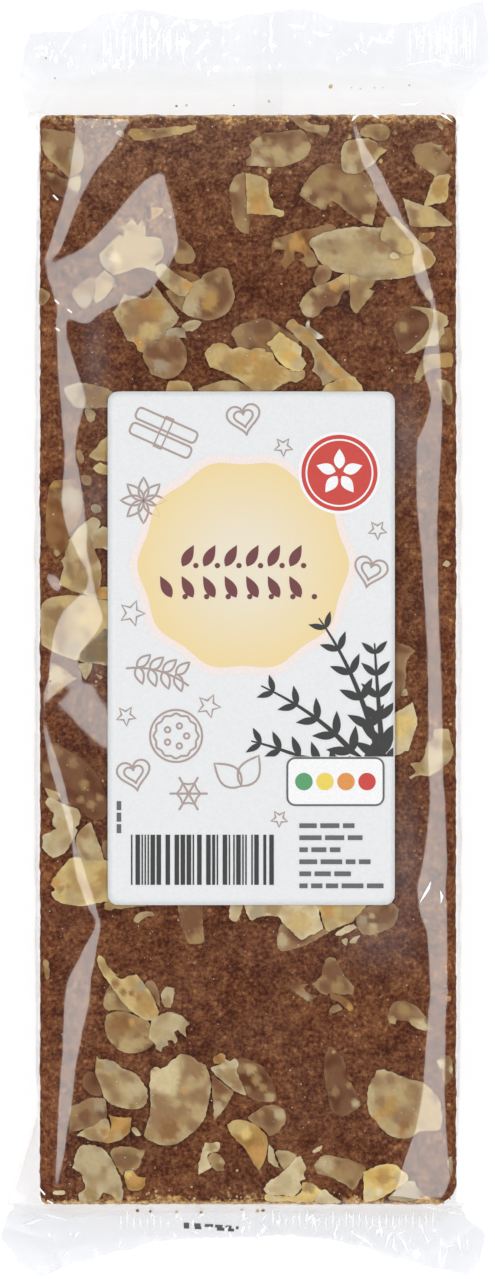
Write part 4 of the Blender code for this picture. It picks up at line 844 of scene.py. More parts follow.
def makeCrumbs(material):
    draw = random.Random(crumbs["seed"])
    bm = bmesh.new()
    tint = bm.verts.layers.float_color.new("crumbTint")
    colors = [srgb(tone) for tone in crumbs["tones"]]
    spread, filmSpread = crumbs["spread"], crumbs["filmSpread"]
    filmFrom = bar["top"] + crumbs["filmFrom"]
    places = []
    for number in range(crumbs["onCrust"]):
        x = bar["centre"][0] + draw.uniform(-spread, spread) * bar["width"]
        y = bar["centre"][1] + draw.uniform(-spread, spread) * bar["length"]
        if draw.random() < crumbs["rimShare"]:
            end = draw.choice((-1, 1))
            inside = abs(draw.gauss(0, crumbs["rimDepth"]))
            y = bar["centre"][1] + end * (bar["length"] / 2 - inside - crumbs["rimInset"])
        places.append((x, y, crustHeight(x, y) + crumbs["aboveCrust"]))
    for number in range(crumbs["onFilm"]):
        x = bar["centre"][0] + draw.uniform(-filmSpread, filmSpread) * bar["width"]
        y = bar["centre"][1] + draw.uniform(-spread, spread) * bar["length"]
        if max(abs(x - label["centre"][0]) / label["width"],
               abs(y - label["centre"][1]) / label["length"]) > crumbs["offLabel"]:
            places.append((x, y, filmHeight(x, y) + crumbs["aboveFilm"]))
    sized = [(x, y, z, draw.uniform(*crumbs["dust" if z > filmFrom else "radius"]))
             for x, y, z in places]
    sized += [(x, y, crustHeight(x, y) + radius / 2, radius) for x, y, radius in crumbs["lumps"]]
    sized += [(x, y, finHeight(endFin if y > 0 else footFin, x, y) - radius, radius)
              for x, y, radius in crumbs["strays"]]
    for x, y, z, radius in sized:
        dusty = radius < crumbs["dust"][1] and z > filmFrom
        made = bmesh.ops.create_icosphere(bm, subdivisions=1, radius=radius)["verts"]
        color = srgb(crumbs["dustTone"]) if dusty else draw.choice(colors)
        for vertex in made:
            vertex.co *= draw.uniform(*crumbs["lumpy"])
            vertex.co += Vector((x, y, z))
            vertex[tint] = color
    return addPiece("loose_crumbs", bm, material, evenShading=False)


def biscuitCrumb():
    # Golden crumbs broken off the bar: dull and dry.
    material, tree, surface, place = newMaterial("biscuitCrumb")
    tint = addNode(tree, "Attribute", attribute_name="crumbTint")
    grain = addNode(tree, "TexNoise", {"Scale": 2400.0}, {"Vector": place})
    shade = addNode(tree, "MapRange", {1: 0.3, 2: 0.7, 3: 0.75, 4: 1.15}, {0: grain})
    color = addNode(tree, "VectorMath", links={0: tint.outputs["Color"], 1: shade},
                    operation="MULTIPLY")
    shader = addNode(tree, "BsdfPrincipled", {"Roughness": 0.8}, {"Base Color": color})
    tree.links.new(shader.outputs[0], surface)
    return material


# The paper label, placed by the frame, and what is printed on it

def paperHeight(x, y):
    wave = label["wave"] * noise.noise(Vector((x, y, 5)) / label["waveLength"])
    return labelLow.z + label["thickness"] + wave


def makeLabel(material):
    bm = flatGrid(label, 0)
    addUnderside(bm, label["thickness"])
    for vertex in bm.verts:
        x, y = roundPlan(vertex.co.x, vertex.co.y, label["centre"], label["width"],
                         label["length"], label["corner"])
        vertex.co = (x, y, vertex.co.z + paperHeight(x, y))
    bmesh.ops.recalc_face_normals(bm, faces=bm.faces)
    return addPiece("paper_label", bm, material)


satinCoat = {"Roughness": 0.42, "IOR": 1.5}


def coatedPaper():
    # White label paper with a thin coat: satin, nearly even, with a faint fibre mottle.
    material, tree, surface, place = newMaterial("coatedLabelPaper")
    fibre = addNode(tree, "TexNoise", {"Scale": 1800.0, "Detail": 3.0}, {"Vector": place})
    color = addNode(tree, "ValToRGB", links={0: fibre}, ramp=((0.3, "e0e2e2"), (0.7, "e6e8e8")))
    shader = addNode(tree, "BsdfPrincipled", satinCoat, {"Base Color": color})
    tree.links.new(shader.outputs[0], surface)
    return material


def printInk(name, hexColor):
    # Offset ink on coated paper: satin, with a slight unevenness.
    material, tree, surface, place = newMaterial(name)
    grain = addNode(tree, "TexNoise", {"Scale": 2500.0}, {"Vector": place})
    shade = addNode(tree, "MapRange", {1: 0.3, 2: 0.7, 3: 0.95, 4: 1.05}, {0: grain})
    color = addNode(tree, "VectorMath", {0: srgb(hexColor)[:3]}, {1: shade}, operation="MULTIPLY")
    shader = addNode(tree, "BsdfPrincipled", satinCoat, {"Base Color": color})
    tree.links.new(shader.outputs[0], surface)
    return material


def printShapes(name, outlines, material, layer):
    bm = bmesh.new()
    for number, outline in enumerate(outlines):      # each a hair above the last, where they cross
        fillOutline(bm, placed(outline, label["centre"]), number * label["hair"])
    bmesh.ops.recalc_face_normals(bm, faces=bm.faces)
    faceUp(bm)
    for axis, size in ((0, label["width"]), (1, label["length"])):
        cuts = int(size / label["cutPitch"])
        for cut in range(-cuts // 2, cuts // 2 + 1):
            spot = Vector((*label["centre"], 0))
            spot[axis] += cut * label["cutPitch"]
            facing = Vector((0, 0, 0))
            facing[axis] = 1
            cutAlong(bm, spot, facing)
    bmesh.ops.triangulate(bm, faces=bm.faces)
    for vertex in bm.verts:
        vertex.co.z += paperHeight(vertex.co.x, vertex.co.y) + layer * label["printStep"]
    return addPiece(name, bm, material)


strokeThickness = 0.04


def layStrokes(name, strokes, width, material, surface):
    # Thin strokes laid on a surface of the given height; a third value of a point is its width.
    curve = bpy.data.curves.new(name, "CURVE")
    curve.dimensions = "3D"
    curve.bevel_depth = width / 2
    curve.bevel_resolution = 0
    curve.use_fill_caps = True
    for points, closed in strokes:
        spline = curve.splines.new("POLY")
        spline.points.add(len(points) - 1)
        spline.use_cyclic_u = closed
        for spot, point in zip(spline.points, points):
            spot.co = (point[0], point[1], 0, 1)
            spot.radius = point[2] if len(point) > 2 else 1.0
    guide = addObject(name, curve)
    bpy.context.view_layer.update()
    mesh = bpy.data.meshes.new_from_object(guide.evaluated_get(bpy.context.evaluated_depsgraph_get()))
    bpy.data.objects.remove(guide)
    bm = bmesh.new()
    bm.from_mesh(mesh)
    for vertex in bm.verts:
        vertex.co.z = vertex.co.z * strokeThickness / width + surface(vertex.co.x, vertex.co.y)
    return addPiece(name, bm, material, crisp=30)


def printStrokes(name, strokes, width, material, layer):
    moved = [(placed(points, label["centre"]), closed) for points, closed in strokes]
    return layStrokes(name, moved, width, material,
                      lambda x, y: paperHeight(x, y) + layer * label["printStep"])


def ringLine(radius, sides=40, lobes=0, depth=0.0):
    points = []
    for step in range(sides):
        angle = math.tau * step / sides
        reach = radius * (1 + depth * math.cos(lobes * angle))
        points.append((reach * math.cos(angle), reach * math.sin(angle)))
    return points


def starLine(outer, inner, tips):
    points = []
    for step in range(2 * tips):
        reach = inner if step % 2 else outer
        angle = math.tau * step / (2 * tips) + math.pi / 2
        points.append((reach * math.cos(angle), reach * math.sin(angle)))
    return points


def heartLine(size):
    points = []
    for step in range(36):
        angle = math.tau * step / 36
        x = 16 * math.sin(angle) ** 3
        y = 13 * math.cos(angle) - 5 * math.cos(2 * angle) - 2 * math.cos(3 * angle)
        points.append((x * size / 32, (y - math.cos(4 * angle)) * size / 32))
    return points


def leafLine(length, width, steps=9):
    upper = [(length * t / steps, width / 2 * math.sin(math.pi * (t / steps) ** 0.8))
             for t in range(steps + 1)]
    lower = [(x, -y) for x, y in reversed(upper[1:-1])]
    return upper + lower


def boxLine(width, length, radius=0.0, steps=5):
    if radius == 0:
        return [(-width / 2, -length / 2), (width / 2, -length / 2),
                (width / 2, length / 2), (-width / 2, length / 2)]
    points = []
    for corner in range(4):
        cx = (width / 2 - radius) * (1 if corner in (0, 3) else -1)
        cy = (length / 2 - radius) * (1 if corner in (0, 1) else -1)
        for step in range(steps + 1):
            angle = math.pi / 2 * (corner + step / steps)
            points.append((cx + radius * math.cos(angle), cy + radius * math.sin(angle)))
    return points


def placed(points, at, turn=0.0):
    cosine, sine = math.cos(math.radians(turn)), math.sin(math.radians(turn))
    return [(at[0] + (x * cosine - y * sine), at[1] + (x * sine + y * cosine)) for x, y in points]


def taperedStem(points, startWidth, endWidth):
    left, right = [], []
    for number, (x, y) in enumerate(points):
        before = points[max(number - 1, 0)]
        after = points[min(number + 1, len(points) - 1)]
        run = Vector((after[0] - before[0], after[1] - before[1])).normalized()
        half = mix(startWidth, endWidth, number / (len(points) - 1)) / 2
        left.append((x - run.y * half, y + run.x * half))
        right.append((x + run.y * half, y - run.x * half))
    return left + right[::-1]


def arcPoints(start, bend, end, steps=10):
    points = []
    for step in range(steps + 1):
        t = step / steps
        points.append(tuple((1 - t) ** 2 * a + 2 * t * (1 - t) * b + t * t * c
                            for a, b, c in zip(start, bend, end)))
    return points


motifs = {
    "stroke": 0.42, "anise": (-21.5, 29.5), "petals": 8, "petal": (4.6, 2.0),
    "hearts": (((-1.5, 46.0), 10), ((23.8, 15.5), -14), ((-23.4, -25.0), 12)), "heartSizes": (6.6, 3.8),
    "sticks": (-17.5, 43.0), "stickTurn": -24, "stick": (13.0, 2.4, 0.8), "stickShift": 1.5,
    "stickSlip": 0.4, "tie": (1.6, 6.4),
    "stars": (((-23.8, 7.0), 2.6), ((25.2, 23.6), 1.9), ((-8.5, -11.5), 2.4),
              ((-25.0, -13.5), 2.0), ((6.4, 40.2), 1.9), ((5.6, -34.0), 1.7)),
    "starInside": 0.45, "starTips": 5, "starTurn": 20,
    "biscuit": (-15.0, -17.5), "biscuitRings": ((5.2,), (4.3, 48, 12, 0.05)),
    "biscuitDots": (2.1, 5), "biscuitDot": (0.55, 10),
    "twig": (-25.0, -4.0), "twigBend": ((0, 0), (6, 3), (13, 1)), "twigTurn": -20, "twigLeaves": 4,
    "firstLeaf": (-22.8, -3.7), "leafStep": (2.6, 0.5), "leaf": (3.6, 1.7), "leafTurns": (42, -72),
    "almonds": (-2.0, -27.5), "almond": (7.0, 4.2), "almondTurns": (60, 140),
    "crystal": (-12.5, -29.0), "arms": 6, "arm": ((0, 0), (3.8, 0)),
    "armTip": ((1.6, 0.9), (2.4, 0), (1.6, -0.9)),
}


def lineMotifs():
    # Star anise, hearts, two tied sticks of cinnamon, stars, a round biscuit with dots, a leafy
    # twig, two whole almonds and a crystal with six arms.
    strokes = []

    def draw(points, at, turn=0.0, closed=True):
        strokes.append((placed(points, at, turn), closed))

    for petal in range(motifs["petals"]):
        draw(leafLine(*motifs["petal"]), motifs["anise"], petal * 360 / motifs["petals"])
    for at, turn in motifs["hearts"]:
        for size in motifs["heartSizes"]:
            draw(heartLine(size), at, turn)
    x, y = motifs["sticks"]
    for shift in (-motifs["stickShift"], motifs["stickShift"]):
        draw(boxLine(*motifs["stick"]), (x + shift * motifs["stickSlip"], y + shift), motifs["stickTurn"])
    draw(boxLine(*motifs["tie"]), (x, y), motifs["stickTurn"])
    for at, size in motifs["stars"]:
        draw(starLine(size, size * motifs["starInside"], motifs["starTips"]), at, size * motifs["starTurn"])
    for ring in motifs["biscuitRings"]:
        draw(ringLine(*ring), motifs["biscuit"])
    for spot in placed(ringLine(*motifs["biscuitDots"]), motifs["biscuit"]):
        draw(ringLine(*motifs["biscuitDot"]), spot)
    draw(arcPoints(*motifs["twigBend"]), motifs["twig"], motifs["twigTurn"], closed=False)
    (x, y), (stepX, stepY) = motifs["firstLeaf"], motifs["leafStep"]
    for number in range(motifs["twigLeaves"]):
        for turn in motifs["leafTurns"]:
            draw(leafLine(*motifs["leaf"]), (x + number * stepX, y - number * stepY), turn)
    for turn in motifs["almondTurns"]:
        draw(leafLine(*motifs["almond"]), motifs["almonds"], turn)
    for arm in range(motifs["arms"]):
        for line in (motifs["arm"], motifs["armTip"]):
            draw(line, motifs["crystal"], arm * 360 / motifs["arms"], closed=False)
    return strokes


sprig = {
    "stems": [      # from, bending past, to
        ((27.5, -31.0), (23.5, -8.0), (13.5, 6.0)), ((26.0, -30.0), (20.0, -16.0), (2.0, -7.5)),
        ((27.0, -30.0), (25.5, -14.0), (24.6, 1.0)), ((26.0, -30.5), (14.0, -22.0), (0.0, -18.5)),
    ],
    "steps": 14, "firstLeaf": 3, "leafEvery": 2, "stem": (1.6, 0.3), "leaf": (6.4, 3.4),
    "leafWidth": 0.34, "leafTurn": 46, "fromSide": 0.3, "ground": -21.6,
}


def darkSprig():
    shapes = []
    for start, bend, end in sprig["stems"]:
        points = arcPoints(start, bend, end, sprig["steps"])
        shapes.append(taperedStem(points, *sprig["stem"]))
        for number in range(sprig["firstLeaf"], sprig["steps"] + 1, sprig["leafEvery"]):
            x, y = points[number]
            back = points[number - 1]
            heading = math.degrees(math.atan2(y - back[1], x - back[0]))
            size = mix(*sprig["leaf"], number / sprig["steps"])
            leaf = leafLine(size, size * sprig["leafWidth"])
            for side in (-1, 1):
                shapes.append(placed(leaf, (x, y), heading + side * sprig["leafTurn"]))
    high = label["width"] / 2 - sprig["fromSide"]
    return [[(min(x, high), max(y, sprig["ground"])) for x, y in shape] for shape in shapes]


ornament = {
    "rows": ((18.2, 6, 62), (12.0, 7, 118)),      # along the label, leaves, how far they are turned
    "middle": -1.8, "pitch": 4.3, "leaf": (4.9, 2.1), "leafShift": (1.2, 1.9),
    "berry": 0.55, "berrySides": 12, "berryShift": (1.5, 1.7),
}


def titleOrnament():
    shapes = []
    for y, count, turn in ornament["rows"]:
        for number in range(count):
            x = ornament["middle"] + (number - (count - 1) / 2) * ornament["pitch"]
            foot = (x - ornament["leafShift"][0], y - ornament["leafShift"][1])
            shapes.append(placed(leafLine(*ornament["leaf"]), foot, turn))
            spot = (x + ornament["berryShift"][0], y - ornament["berryShift"][1])
            shapes.append(placed(ringLine(ornament["berry"], ornament["berrySides"]), spot))
    return shapes


wordBars = {
    "seed": 5, "left": 9.6, "top": -35.4, "pitch": 2.4, "lengths": (11.0, 12.6, 8.2, 14.2, 10.6, 16.8),
    "word": (1.6, 4.6), "gap": 0.7, "height": 0.95,
    "sideCount": 3, "sideBox": (0.9, 1.8), "sideTop": (-26.4, -31.4), "sidePitch": 2.3,
}


def textBars():
    draw = random.Random(wordBars["seed"])
    bars = []
    for line, length in enumerate(wordBars["lengths"]):
        x = wordBars["left"]
        y = wordBars["top"] - line * wordBars["pitch"]
        end = x + length
        while x < end:
            word = min(draw.uniform(*wordBars["word"]), end - x)
            bars.append(placed(boxLine(word, wordBars["height"]), (x + word / 2, y)))
            x += word + wordBars["gap"]
    x, top = wordBars["sideTop"]
    for number in range(wordBars["sideCount"]):
        bars.append(placed(boxLine(*wordBars["sideBox"]), (x, top - number * wordBars["sidePitch"])))
    return bars


stripes = {
    "seed": 8, "left": -24.0, "right": 4.4, "middle": -42.2, "height": 10.0,
    "widths": (0.3, 0.3, 0.6, 0.9),
}


def stripePattern():
    draw = random.Random(stripes["seed"])
    bars = []
    x = stripes["left"]
    while x < stripes["right"]:
        width = draw.choice(stripes["widths"])
        bars.append(placed(boxLine(width, stripes["height"]), (x + width / 2, stripes["middle"])))
        x += width + draw.choice(stripes["widths"])
    return bars


field = {
    "centre": (-1.6, 16.6), "halo": 22.2, "cream": 20.6, "outline": (120, 10, 0.025),
    "fade": (0.006, 0.021),      # in metres, from the pale middle to the deeper edge
}
seal = {
    "centre": (17.6, 35.0), "edge": 8.2, "disc": 7.6, "ring": 6.6, "ringWidth": 0.35, "sides": 60,
    "petals": 5, "petal": (4.0, 2.2), "petalOut": 0.8, "turn": 18,
}
tabs = {
    "centre": (16.8, -26.6), "frame": (19.6, 9.8, 1.8), "field": (18.8, 9.0, 1.4),
    "inks": ("green", "yellow", "orange", "red"), "first": 6.3, "pitch": 4.2, "dot": (1.75, 28),
}


def makePrint():
    inks = {name: printInk(name + "Ink", tone) for name, tone in (
        ("halo", "efe2dc"), ("red", "c8372c"), ("white", "f1f1f1"),
        ("maroon", "6b2e33"), ("taupe", "a8958e"), ("black", "242424"), ("grey", "5c5c5c"),
        ("green", "4f9a64"), ("yellow", "e8cf54"), ("orange", "dd8f40"))}
    # What ends each call is the layer, counted up from the paper.
    halo, cream = [[placed(ringLine(field[ring], *field["outline"]), field["centre"])]
                   for ring in ("halo", "cream")]
    printShapes("print_halo", halo, inks["halo"], 1)
    printShapes("print_field", cream, creamField(field["centre"]), 2)
    printStrokes("print_lines", lineMotifs(), motifs["stroke"], inks["taupe"], 1.4)
    printShapes("print_sprig", darkSprig(), inks["black"], 3)
    printShapes("print_ornament", titleOrnament(), inks["maroon"], 3)
    edge, disc, ring = [placed(ringLine(seal[name], seal["sides"]), seal["centre"])
                        for name in ("edge", "disc", "ring")]
    printShapes("print_seal_edge", [edge], inks["white"], 3)
    printShapes("print_seal", [disc], inks["red"], 4)
    printStrokes("print_seal_ring", [(ring, True)], seal["ringWidth"], inks["white"], 5)
    petal = placed(leafLine(*seal["petal"]), (seal["petalOut"], 0))
    petals = [placed(petal, seal["centre"], number * 360 / seal["petals"] + seal["turn"])
              for number in range(seal["petals"])]
    printShapes("print_seal_petals", petals, inks["white"], 5)
    printShapes("print_tab_frame", [placed(boxLine(*tabs["frame"]), tabs["centre"])], inks["grey"], 3)
    printShapes("print_tab_field", [placed(boxLine(*tabs["field"]), tabs["centre"])], inks["white"], 4)
    for number, ink in enumerate(tabs["inks"]):
        spot = (tabs["centre"][0] - tabs["first"] + number * tabs["pitch"], tabs["centre"][1])
        printShapes(f"print_tab_{ink}", [placed(ringLine(*tabs["dot"]), spot)], inks[ink], 5)
    printShapes("print_text_bars", textBars(), inks["grey"], 3)
    printShapes("print_stripes", stripePattern(), inks["black"], 3)


def creamField(centre):
    # Offset ink: pale cream in the middle, deeper yellow towards its edge.
    material, tree, surface, spot = newMaterial("creamInkField")
    x = (centre[0] + label["centre"][0]) * mm
    y = (centre[1] + label["centre"][1]) * mm
    centred = addNode(tree, "Mapping", {"Location": (-x, -y, -labelLow.z * mm)}, {"Vector": spot})
    reach = addNode(tree, "VectorMath", links={0: centred}, operation="LENGTH")
    share = addNode(tree, "MapRange", dict(zip((1, 2), field["fade"])), {0: reach.outputs["Value"]})
    color = addNode(tree, "ValToRGB", links={0: share}, ramp=((0.0, "e6dcc4"), (1.0, "ead298")))
    shader = addNode(tree, "BsdfPrincipled", satinCoat, {"Base Color": color})
    tree.links.new(shader.outputs[0], surface)
    return material


# The clear film: a sleeve round the bar, and a crimped fin at each end

sleeve = {
    "gap": 0.25, "pitch": 0.5, "underPitch": 4.0, "sideLevels": 8, "underside": 0.15,
    "rest": 17.28, "edgeLow": 16.25, "edgeHigh": 17.9, "foldTilt": 7.0, "evenRows": 41, "creaseRows": 7,
    "underLabel": 0.06, "shelfSlope": 0.8, "endRounding": 1.0, "endDrop": 1.0,
    "slack": 1.3, "ripples": ((9.0, 0.05), (3.4, 0.018)), "sideRipple": (7, 0.25),
    "leastTilt": 0.8, "besideMiddle": 2,
    "tents": ((78, 19, 1.7), (-104, 12, 0.7)),      # along Y, reach, rise above the crust's middle
}
# Where the film slopes outwards, so that it mirrors the light: how soft the fold's edge is,
# then y with x from and to.
leftFolds = [
    [0.2, (104.4, -34.6, -22.4), (101, -34.1, -24.2), (97.4, -34.4, -26.6), (95, -34.7, -28.8),
     (92.5, -35, -30.4), (90, -35.6, -31.9), (85, -37, -34.2), (80, -38.6, -36), (77, -39.7, -37.4),
     (74.4, -40.6, -39.9)],
    [0.2, (93.2, -16.8, -16.3), (92, -19.6, -16), (90, -21.7, -15.5), (86, -25, -14.4), (82, -28.6, -13.6),
     (80, -30.4, -13.3), (78, -32.6, -13.4), (76.8, -35, -13.8), (75.6, -37.6, -14.3), (74.4, -39.8, -14.8),
     (71.5, -39.4, -17), (69, -38.5, -19.4), (68, -38.1, -21), (67, -37.6, -24.6), (66, -37.4, -27),
     (64.6, -37.3, -29.5), (62.9, -32, -31)],
    [0.2, (65, -37.4, -35.8), (62, -37.6, -35.9), (60, -37.4, -35.8), (56, -37.3, -34.4), (52, -37.3, -33),
     (48, -37, -31.6), (44, -36.6, -32.8), (40, -36.2, -33.8), (36, -36, -33.9), (32, -36.4, -33),
     (28, -36.7, -32.2), (24, -36.2, -31.9), (21, -35.4, -31.4), (18, -33.8, -31.8), (16, -33, -31.2),
     (14, -31.9, -30.7), (11, -31.4, -30.1), (9.4, -32, -30.2), (8, -33.9, -29.7), (5.8, -36.3, -28.6),
     (4, -37.3, -28), (1.6, -38.1, -29.4), (-0.4, -38.4, -31), (-2.2, -38.6, -32.8), (-4, -38.9, -33.5),
     (-8, -39.4, -32.4), (-9.6, -39.9, -36.6), (-12.5, -40.6, -39.6), (-15, -40.8, -40),
     (-18, -40.4, -39.5), (-21, -39.9, -38.7), (-24, -39.2, -37.8), (-30, -37.6, -36), (-36, -35.8, -34.4),
     (-40, -34.9, -33.9), (-43.8, -34.4, -32.8), (-48, -33.7, -31.3), (-53, -31.8, -29.9),
     (-56.4, -29.9, -28.7), (-58, -30.3, -28.9), (-62, -32.4, -29.8), (-68, -35.4, -30.8),
     (-72, -36.1, -31), (-78, -36.4, -32.6), (-85, -36.7, -33.9), (-95, -37.3, -35), (-101, -37.6, -35.9),
     (-109.4, -38.2, -37.3)],
    [0.2, (13.1, -40.5, -38.6), (12.4, -40.1, -37.4), (10.4, -38.8, -36.7), (9.8, -38, -36.9)],
    [1.1, (-8.4, -33.4, -30.6), (-11, -36, -29.2), (-12.2, -37.4, -28.4), (-13.4, -38.2, -27.2),
     (-15.5, -35.2, -26.6), (-18.5, -32, -26.6), (-20, -30.4, -26.6), (-23.6, -27.6, -26.6)],
]
rightFolds = [
    [0.2, (104, 20.9, 21.9), (101, 21.5, 22.8), (98, 22.4, 24.3), (95, 23, 26), (92, 24.8, 27.6),
     (88, 26.5, 29.4), (84, 29.3, 31), (80, 32.6, 33.8), (78.5, 33.8, 34.7), (77, 33.7, 34.9),
     (75, 33.3, 35.6), (71, 34.3, 36.8), (67, 36.9, 37.8), (64, 37.5, 38.4), (60, 36.5, 38.5),
     (56, 35.2, 38.9), (52, 35.9, 39.1), (48, 37.2, 39.2), (43, 35.8, 39.2), (39.5, 34.2, 39),
     (30, 34.1, 38.5), (20, 34.9, 38.2), (3, 36.1, 38.6), (-10, 36.6, 39.1), (-25, 36.4, 39.3),
     (-33, 36.9, 39.8), (-44, 35.6, 40.1), (-50, 34.1, 40.1), (-54, 34.5, 40.1), (-59, 36.4, 40.2),
     (-70, 37.1, 40.2), (-78, 36.3, 39.8), (-90, 35.4, 39.7), (-98, 34, 39.9), (-104, 31.8, 40.5),
     (-108, 30.4, 41), (-112, 28.6, 39.4)],
]
# Where the film is dull with dust and fine scratches: x, y, reach across, reach along, share.
veils = [(32, 40, 3, 9, 0.065), (32, -44, 3, 13, 0.065), (26.5, -60, 7, 5, 0.045),
         (-30, 56, 2.5, 9, 0.06), (-30, 28, 2.5, 5, 0.06), (-30, -4, 2.5, 5, 0.06), (0, 100, 45, 9, 0.015)]
filmEars = [
    {"side": -1, "toward": -1, "out": 6.4, "run": 18}, {"side": 1, "toward": -1, "out": 1.6, "run": 4},
    {"side": -1, "toward": 1, "out": 2.6, "run": 4}, {"side": 1, "toward": 1, "out": 1.4, "run": 4},
]


def foldMask(folds, columns, rows):
    mask = np.zeros((len(rows), len(columns)))
    for fold in folds:
        soft = fold[0]
        spots = np.array(sorted(fold[1:]))
        low = np.interp(rows, spots[:, 0], spots[:, 1])[:, None]
        high = np.interp(rows, spots[:, 0], spots[:, 2])[:, None]
        inside = 1 / (1 + np.exp((low - columns) / soft)) / (1 + np.exp((columns - high) / soft))
        ended = (rows < spots[0, 0]) | (rows > spots[-1, 0])
        inside[ended] = 0
        mask = np.maximum(mask, inside)
    return mask


def evened(line, count):
    weights = np.hanning(count)
    return np.convolve(np.pad(line, count // 2, mode="edge"), weights / weights.sum(), mode="valid")


def slopeDown(mask, step, middle):
    # Heights over one half of the bar, by columns from the middle outwards. The film climbs
    # inwards from the bar's edge, steeply where the mask is 1, and the rest of each row takes
    # up what is left. The edge's own height changes slowly from row to row.
    tilt = math.tan(math.radians(sleeve["foldTilt"]))
    climb = tilt * mask.sum(axis=1) * step
    wanted = np.clip(climb, middle - sleeve["edgeHigh"], middle - sleeve["edgeLow"])
    wanted = evened(wanted, sleeve["evenRows"])
    eased = tilt * np.clip(wanted / np.maximum(climb, 0.01), sleeve["leastTilt"], 1)
    rest = 1 - mask
    spread = (wanted - eased * mask.sum(axis=1) * step) / np.maximum(rest.sum(axis=1) * step, 0.5)
    slope = (eased[:, None] * mask + spread[:, None] * rest)[:, ::-1]
    climbed = np.cumsum((slope[:, 1:] + slope[:, :-1]) / 2, axis=1) * step
    climbed = np.pad(climbed, ((0, 0), (1, 0)))
    return (middle - wanted)[:, None] + climbed[:, ::-1]


def filmHeights():
    halfWidth = bar["width"] / 2 + sleeve["gap"]
    halfLength = bar["length"] / 2 + sleeve["gap"]
    low = (bar["centre"][0] - halfWidth, bar["centre"][1] - halfLength)
    high = (bar["centre"][0] + halfWidth, bar["centre"][1] + halfLength)
    columns = np.linspace(low[0], high[0], round(2 * halfWidth / sleeve["pitch"]) + 1)
    rows = np.linspace(low[1], high[1], round(2 * halfLength / sleeve["pitch"]) + 1)
    step = columns[1] - columns[0]
    middle = np.full(len(rows), sleeve["rest"])
    for along, reach, rise in sleeve["tents"]:
        middle += rise * np.exp(-((rows - along) / reach) ** 2)
    split = len(columns) // 2 + sleeve["besideMiddle"]
    left = slopeDown(foldMask(leftFolds, columns, rows)[:, :split][:, ::-1], step, middle)[:, ::-1]
    right = slopeDown(foldMask(rightFolds, columns, rows)[:, split:], step, middle)
    heights = np.concatenate([left, right], axis=1)
    heights = np.apply_along_axis(evened, 0, heights, sleeve["creaseRows"])
    for size, depth in sleeve["ripples"]:
        heights += depth * np.array([[noise.noise(Vector((x, y, 3)) / size) for x in columns]
                                     for y in rows])
    outX = np.abs(columns - label["centre"][0]) - label["width"] / 2
    outY = np.abs(rows - label["centre"][1]) - label["length"] / 2
    shelf = 1 - np.maximum(outX[None, :], outY[:, None]) / sleeve["shelfSlope"]
    shelf = np.clip(shelf, 0, 1)
    shelf = shelf * shelf * (3 - 2 * shelf)
    lowered = labelLow.z - sleeve["underLabel"]      # pressed down by the label
    heights += np.minimum(lowered - heights, 0) * shelf
    fromEnd = halfLength - np.abs(rows - bar["centre"][1])
    heights -= sleeve["endDrop"] * np.clip(1 - fromEnd / sleeve["endRounding"], 0, 1)[:, None] ** 2
    return columns, rows, heights


def filmHeight(x, y):
    row, column = [round(np.clip((at - line[0]) / (line[1] - line[0]), 0, len(line) - 1))
                   for at, line in ((y, filmRows), (x, filmColumns))]
    return filmField[row, column]


def filmSide(side, y, level, edgeX, edgeZ):
    # A point of the film beside the bar; level runs from 0 on the floor to 1 on top.
    endShare = abs(y - bar["centre"][1]) / (bar["length"] / 2)
    slack = sleeve["slack"] * max(0.0, 1 - endShare ** 4)
    for ear in filmEars:
        if ear["side"] == side:
            fromCorner = bar["length"] / 2 - ear["toward"] * (y - bar["centre"][1])
            slack += ear["out"] * min(1.0, max(0.0, 1 - fromCorner / ear["run"]))
    size, depth = sleeve["sideRipple"]
    ripple = depth * noise.noise(Vector((edgeX, y / size, level * 2))) * math.sin(math.pi * level)
    out = slack * (1 - (2 * level - 1) ** 2) + ripple
    return edgeX + side * out, mix(sleeve["underside"], edgeZ, level)


def makeSleeve(material, columns, rows, heights):
    levels = sleeve["sideLevels"]
    under = round((columns[-1] - columns[0]) / sleeve["underPitch"])
    ring = len(columns) - 1 + levels + under + levels
    bm = bmesh.new()
    bmesh.ops.create_grid(bm, x_segments=ring, y_segments=len(rows) - 1, size=0.5)
    for vertex in bm.verts:
        column = round((vertex.co.x + 0.5) * ring)
        row = round((vertex.co.y + 0.5) * (len(rows) - 1))
        y = rows[row]
        if column < len(columns):
            vertex.co = (columns[column], y, heights[row, column])
            continue
        column -= len(columns) - 1
        if column <= levels:
            x, z = filmSide(1, y, 1 - column / levels, columns[-1], heights[row, -1])
        elif column < levels + under:
            x = mix(columns[-1], columns[0], (column - levels) / under)
            z = sleeve["underside"]
        else:
            level = (column - levels - under) / levels
            x, z = filmSide(-1, y, level, columns[0], heights[row, 0])
        vertex.co = (x, y, z)
    dull = bm.verts.layers.float.new("filmVeil")
    for vertex in bm.verts:
        x, y = vertex.co.x, vertex.co.y
        vertex[dull] = sum(share * math.exp(-((x - atX) / wide) ** 2 - ((y - atY) / long) ** 2)
                           for atX, atY, wide, long, share in veils)
    bmesh.ops.remove_doubles(bm, verts=bm.verts, dist=0.001)
    bmesh.ops.recalc_face_normals(bm, faces=bm.faces)
    outward(bm)
    return addPiece("film_sleeve", bm, material, crisp=40)


def outward(bm):
    # Turns an open tube's faces out, judged by its highest face.
    top = max(bm.faces, key=lambda face: face.calc_center_median().z)
    if top.normal.z < 0:
        bmesh.ops.reverse_faces(bm, faces=bm.faces[:])


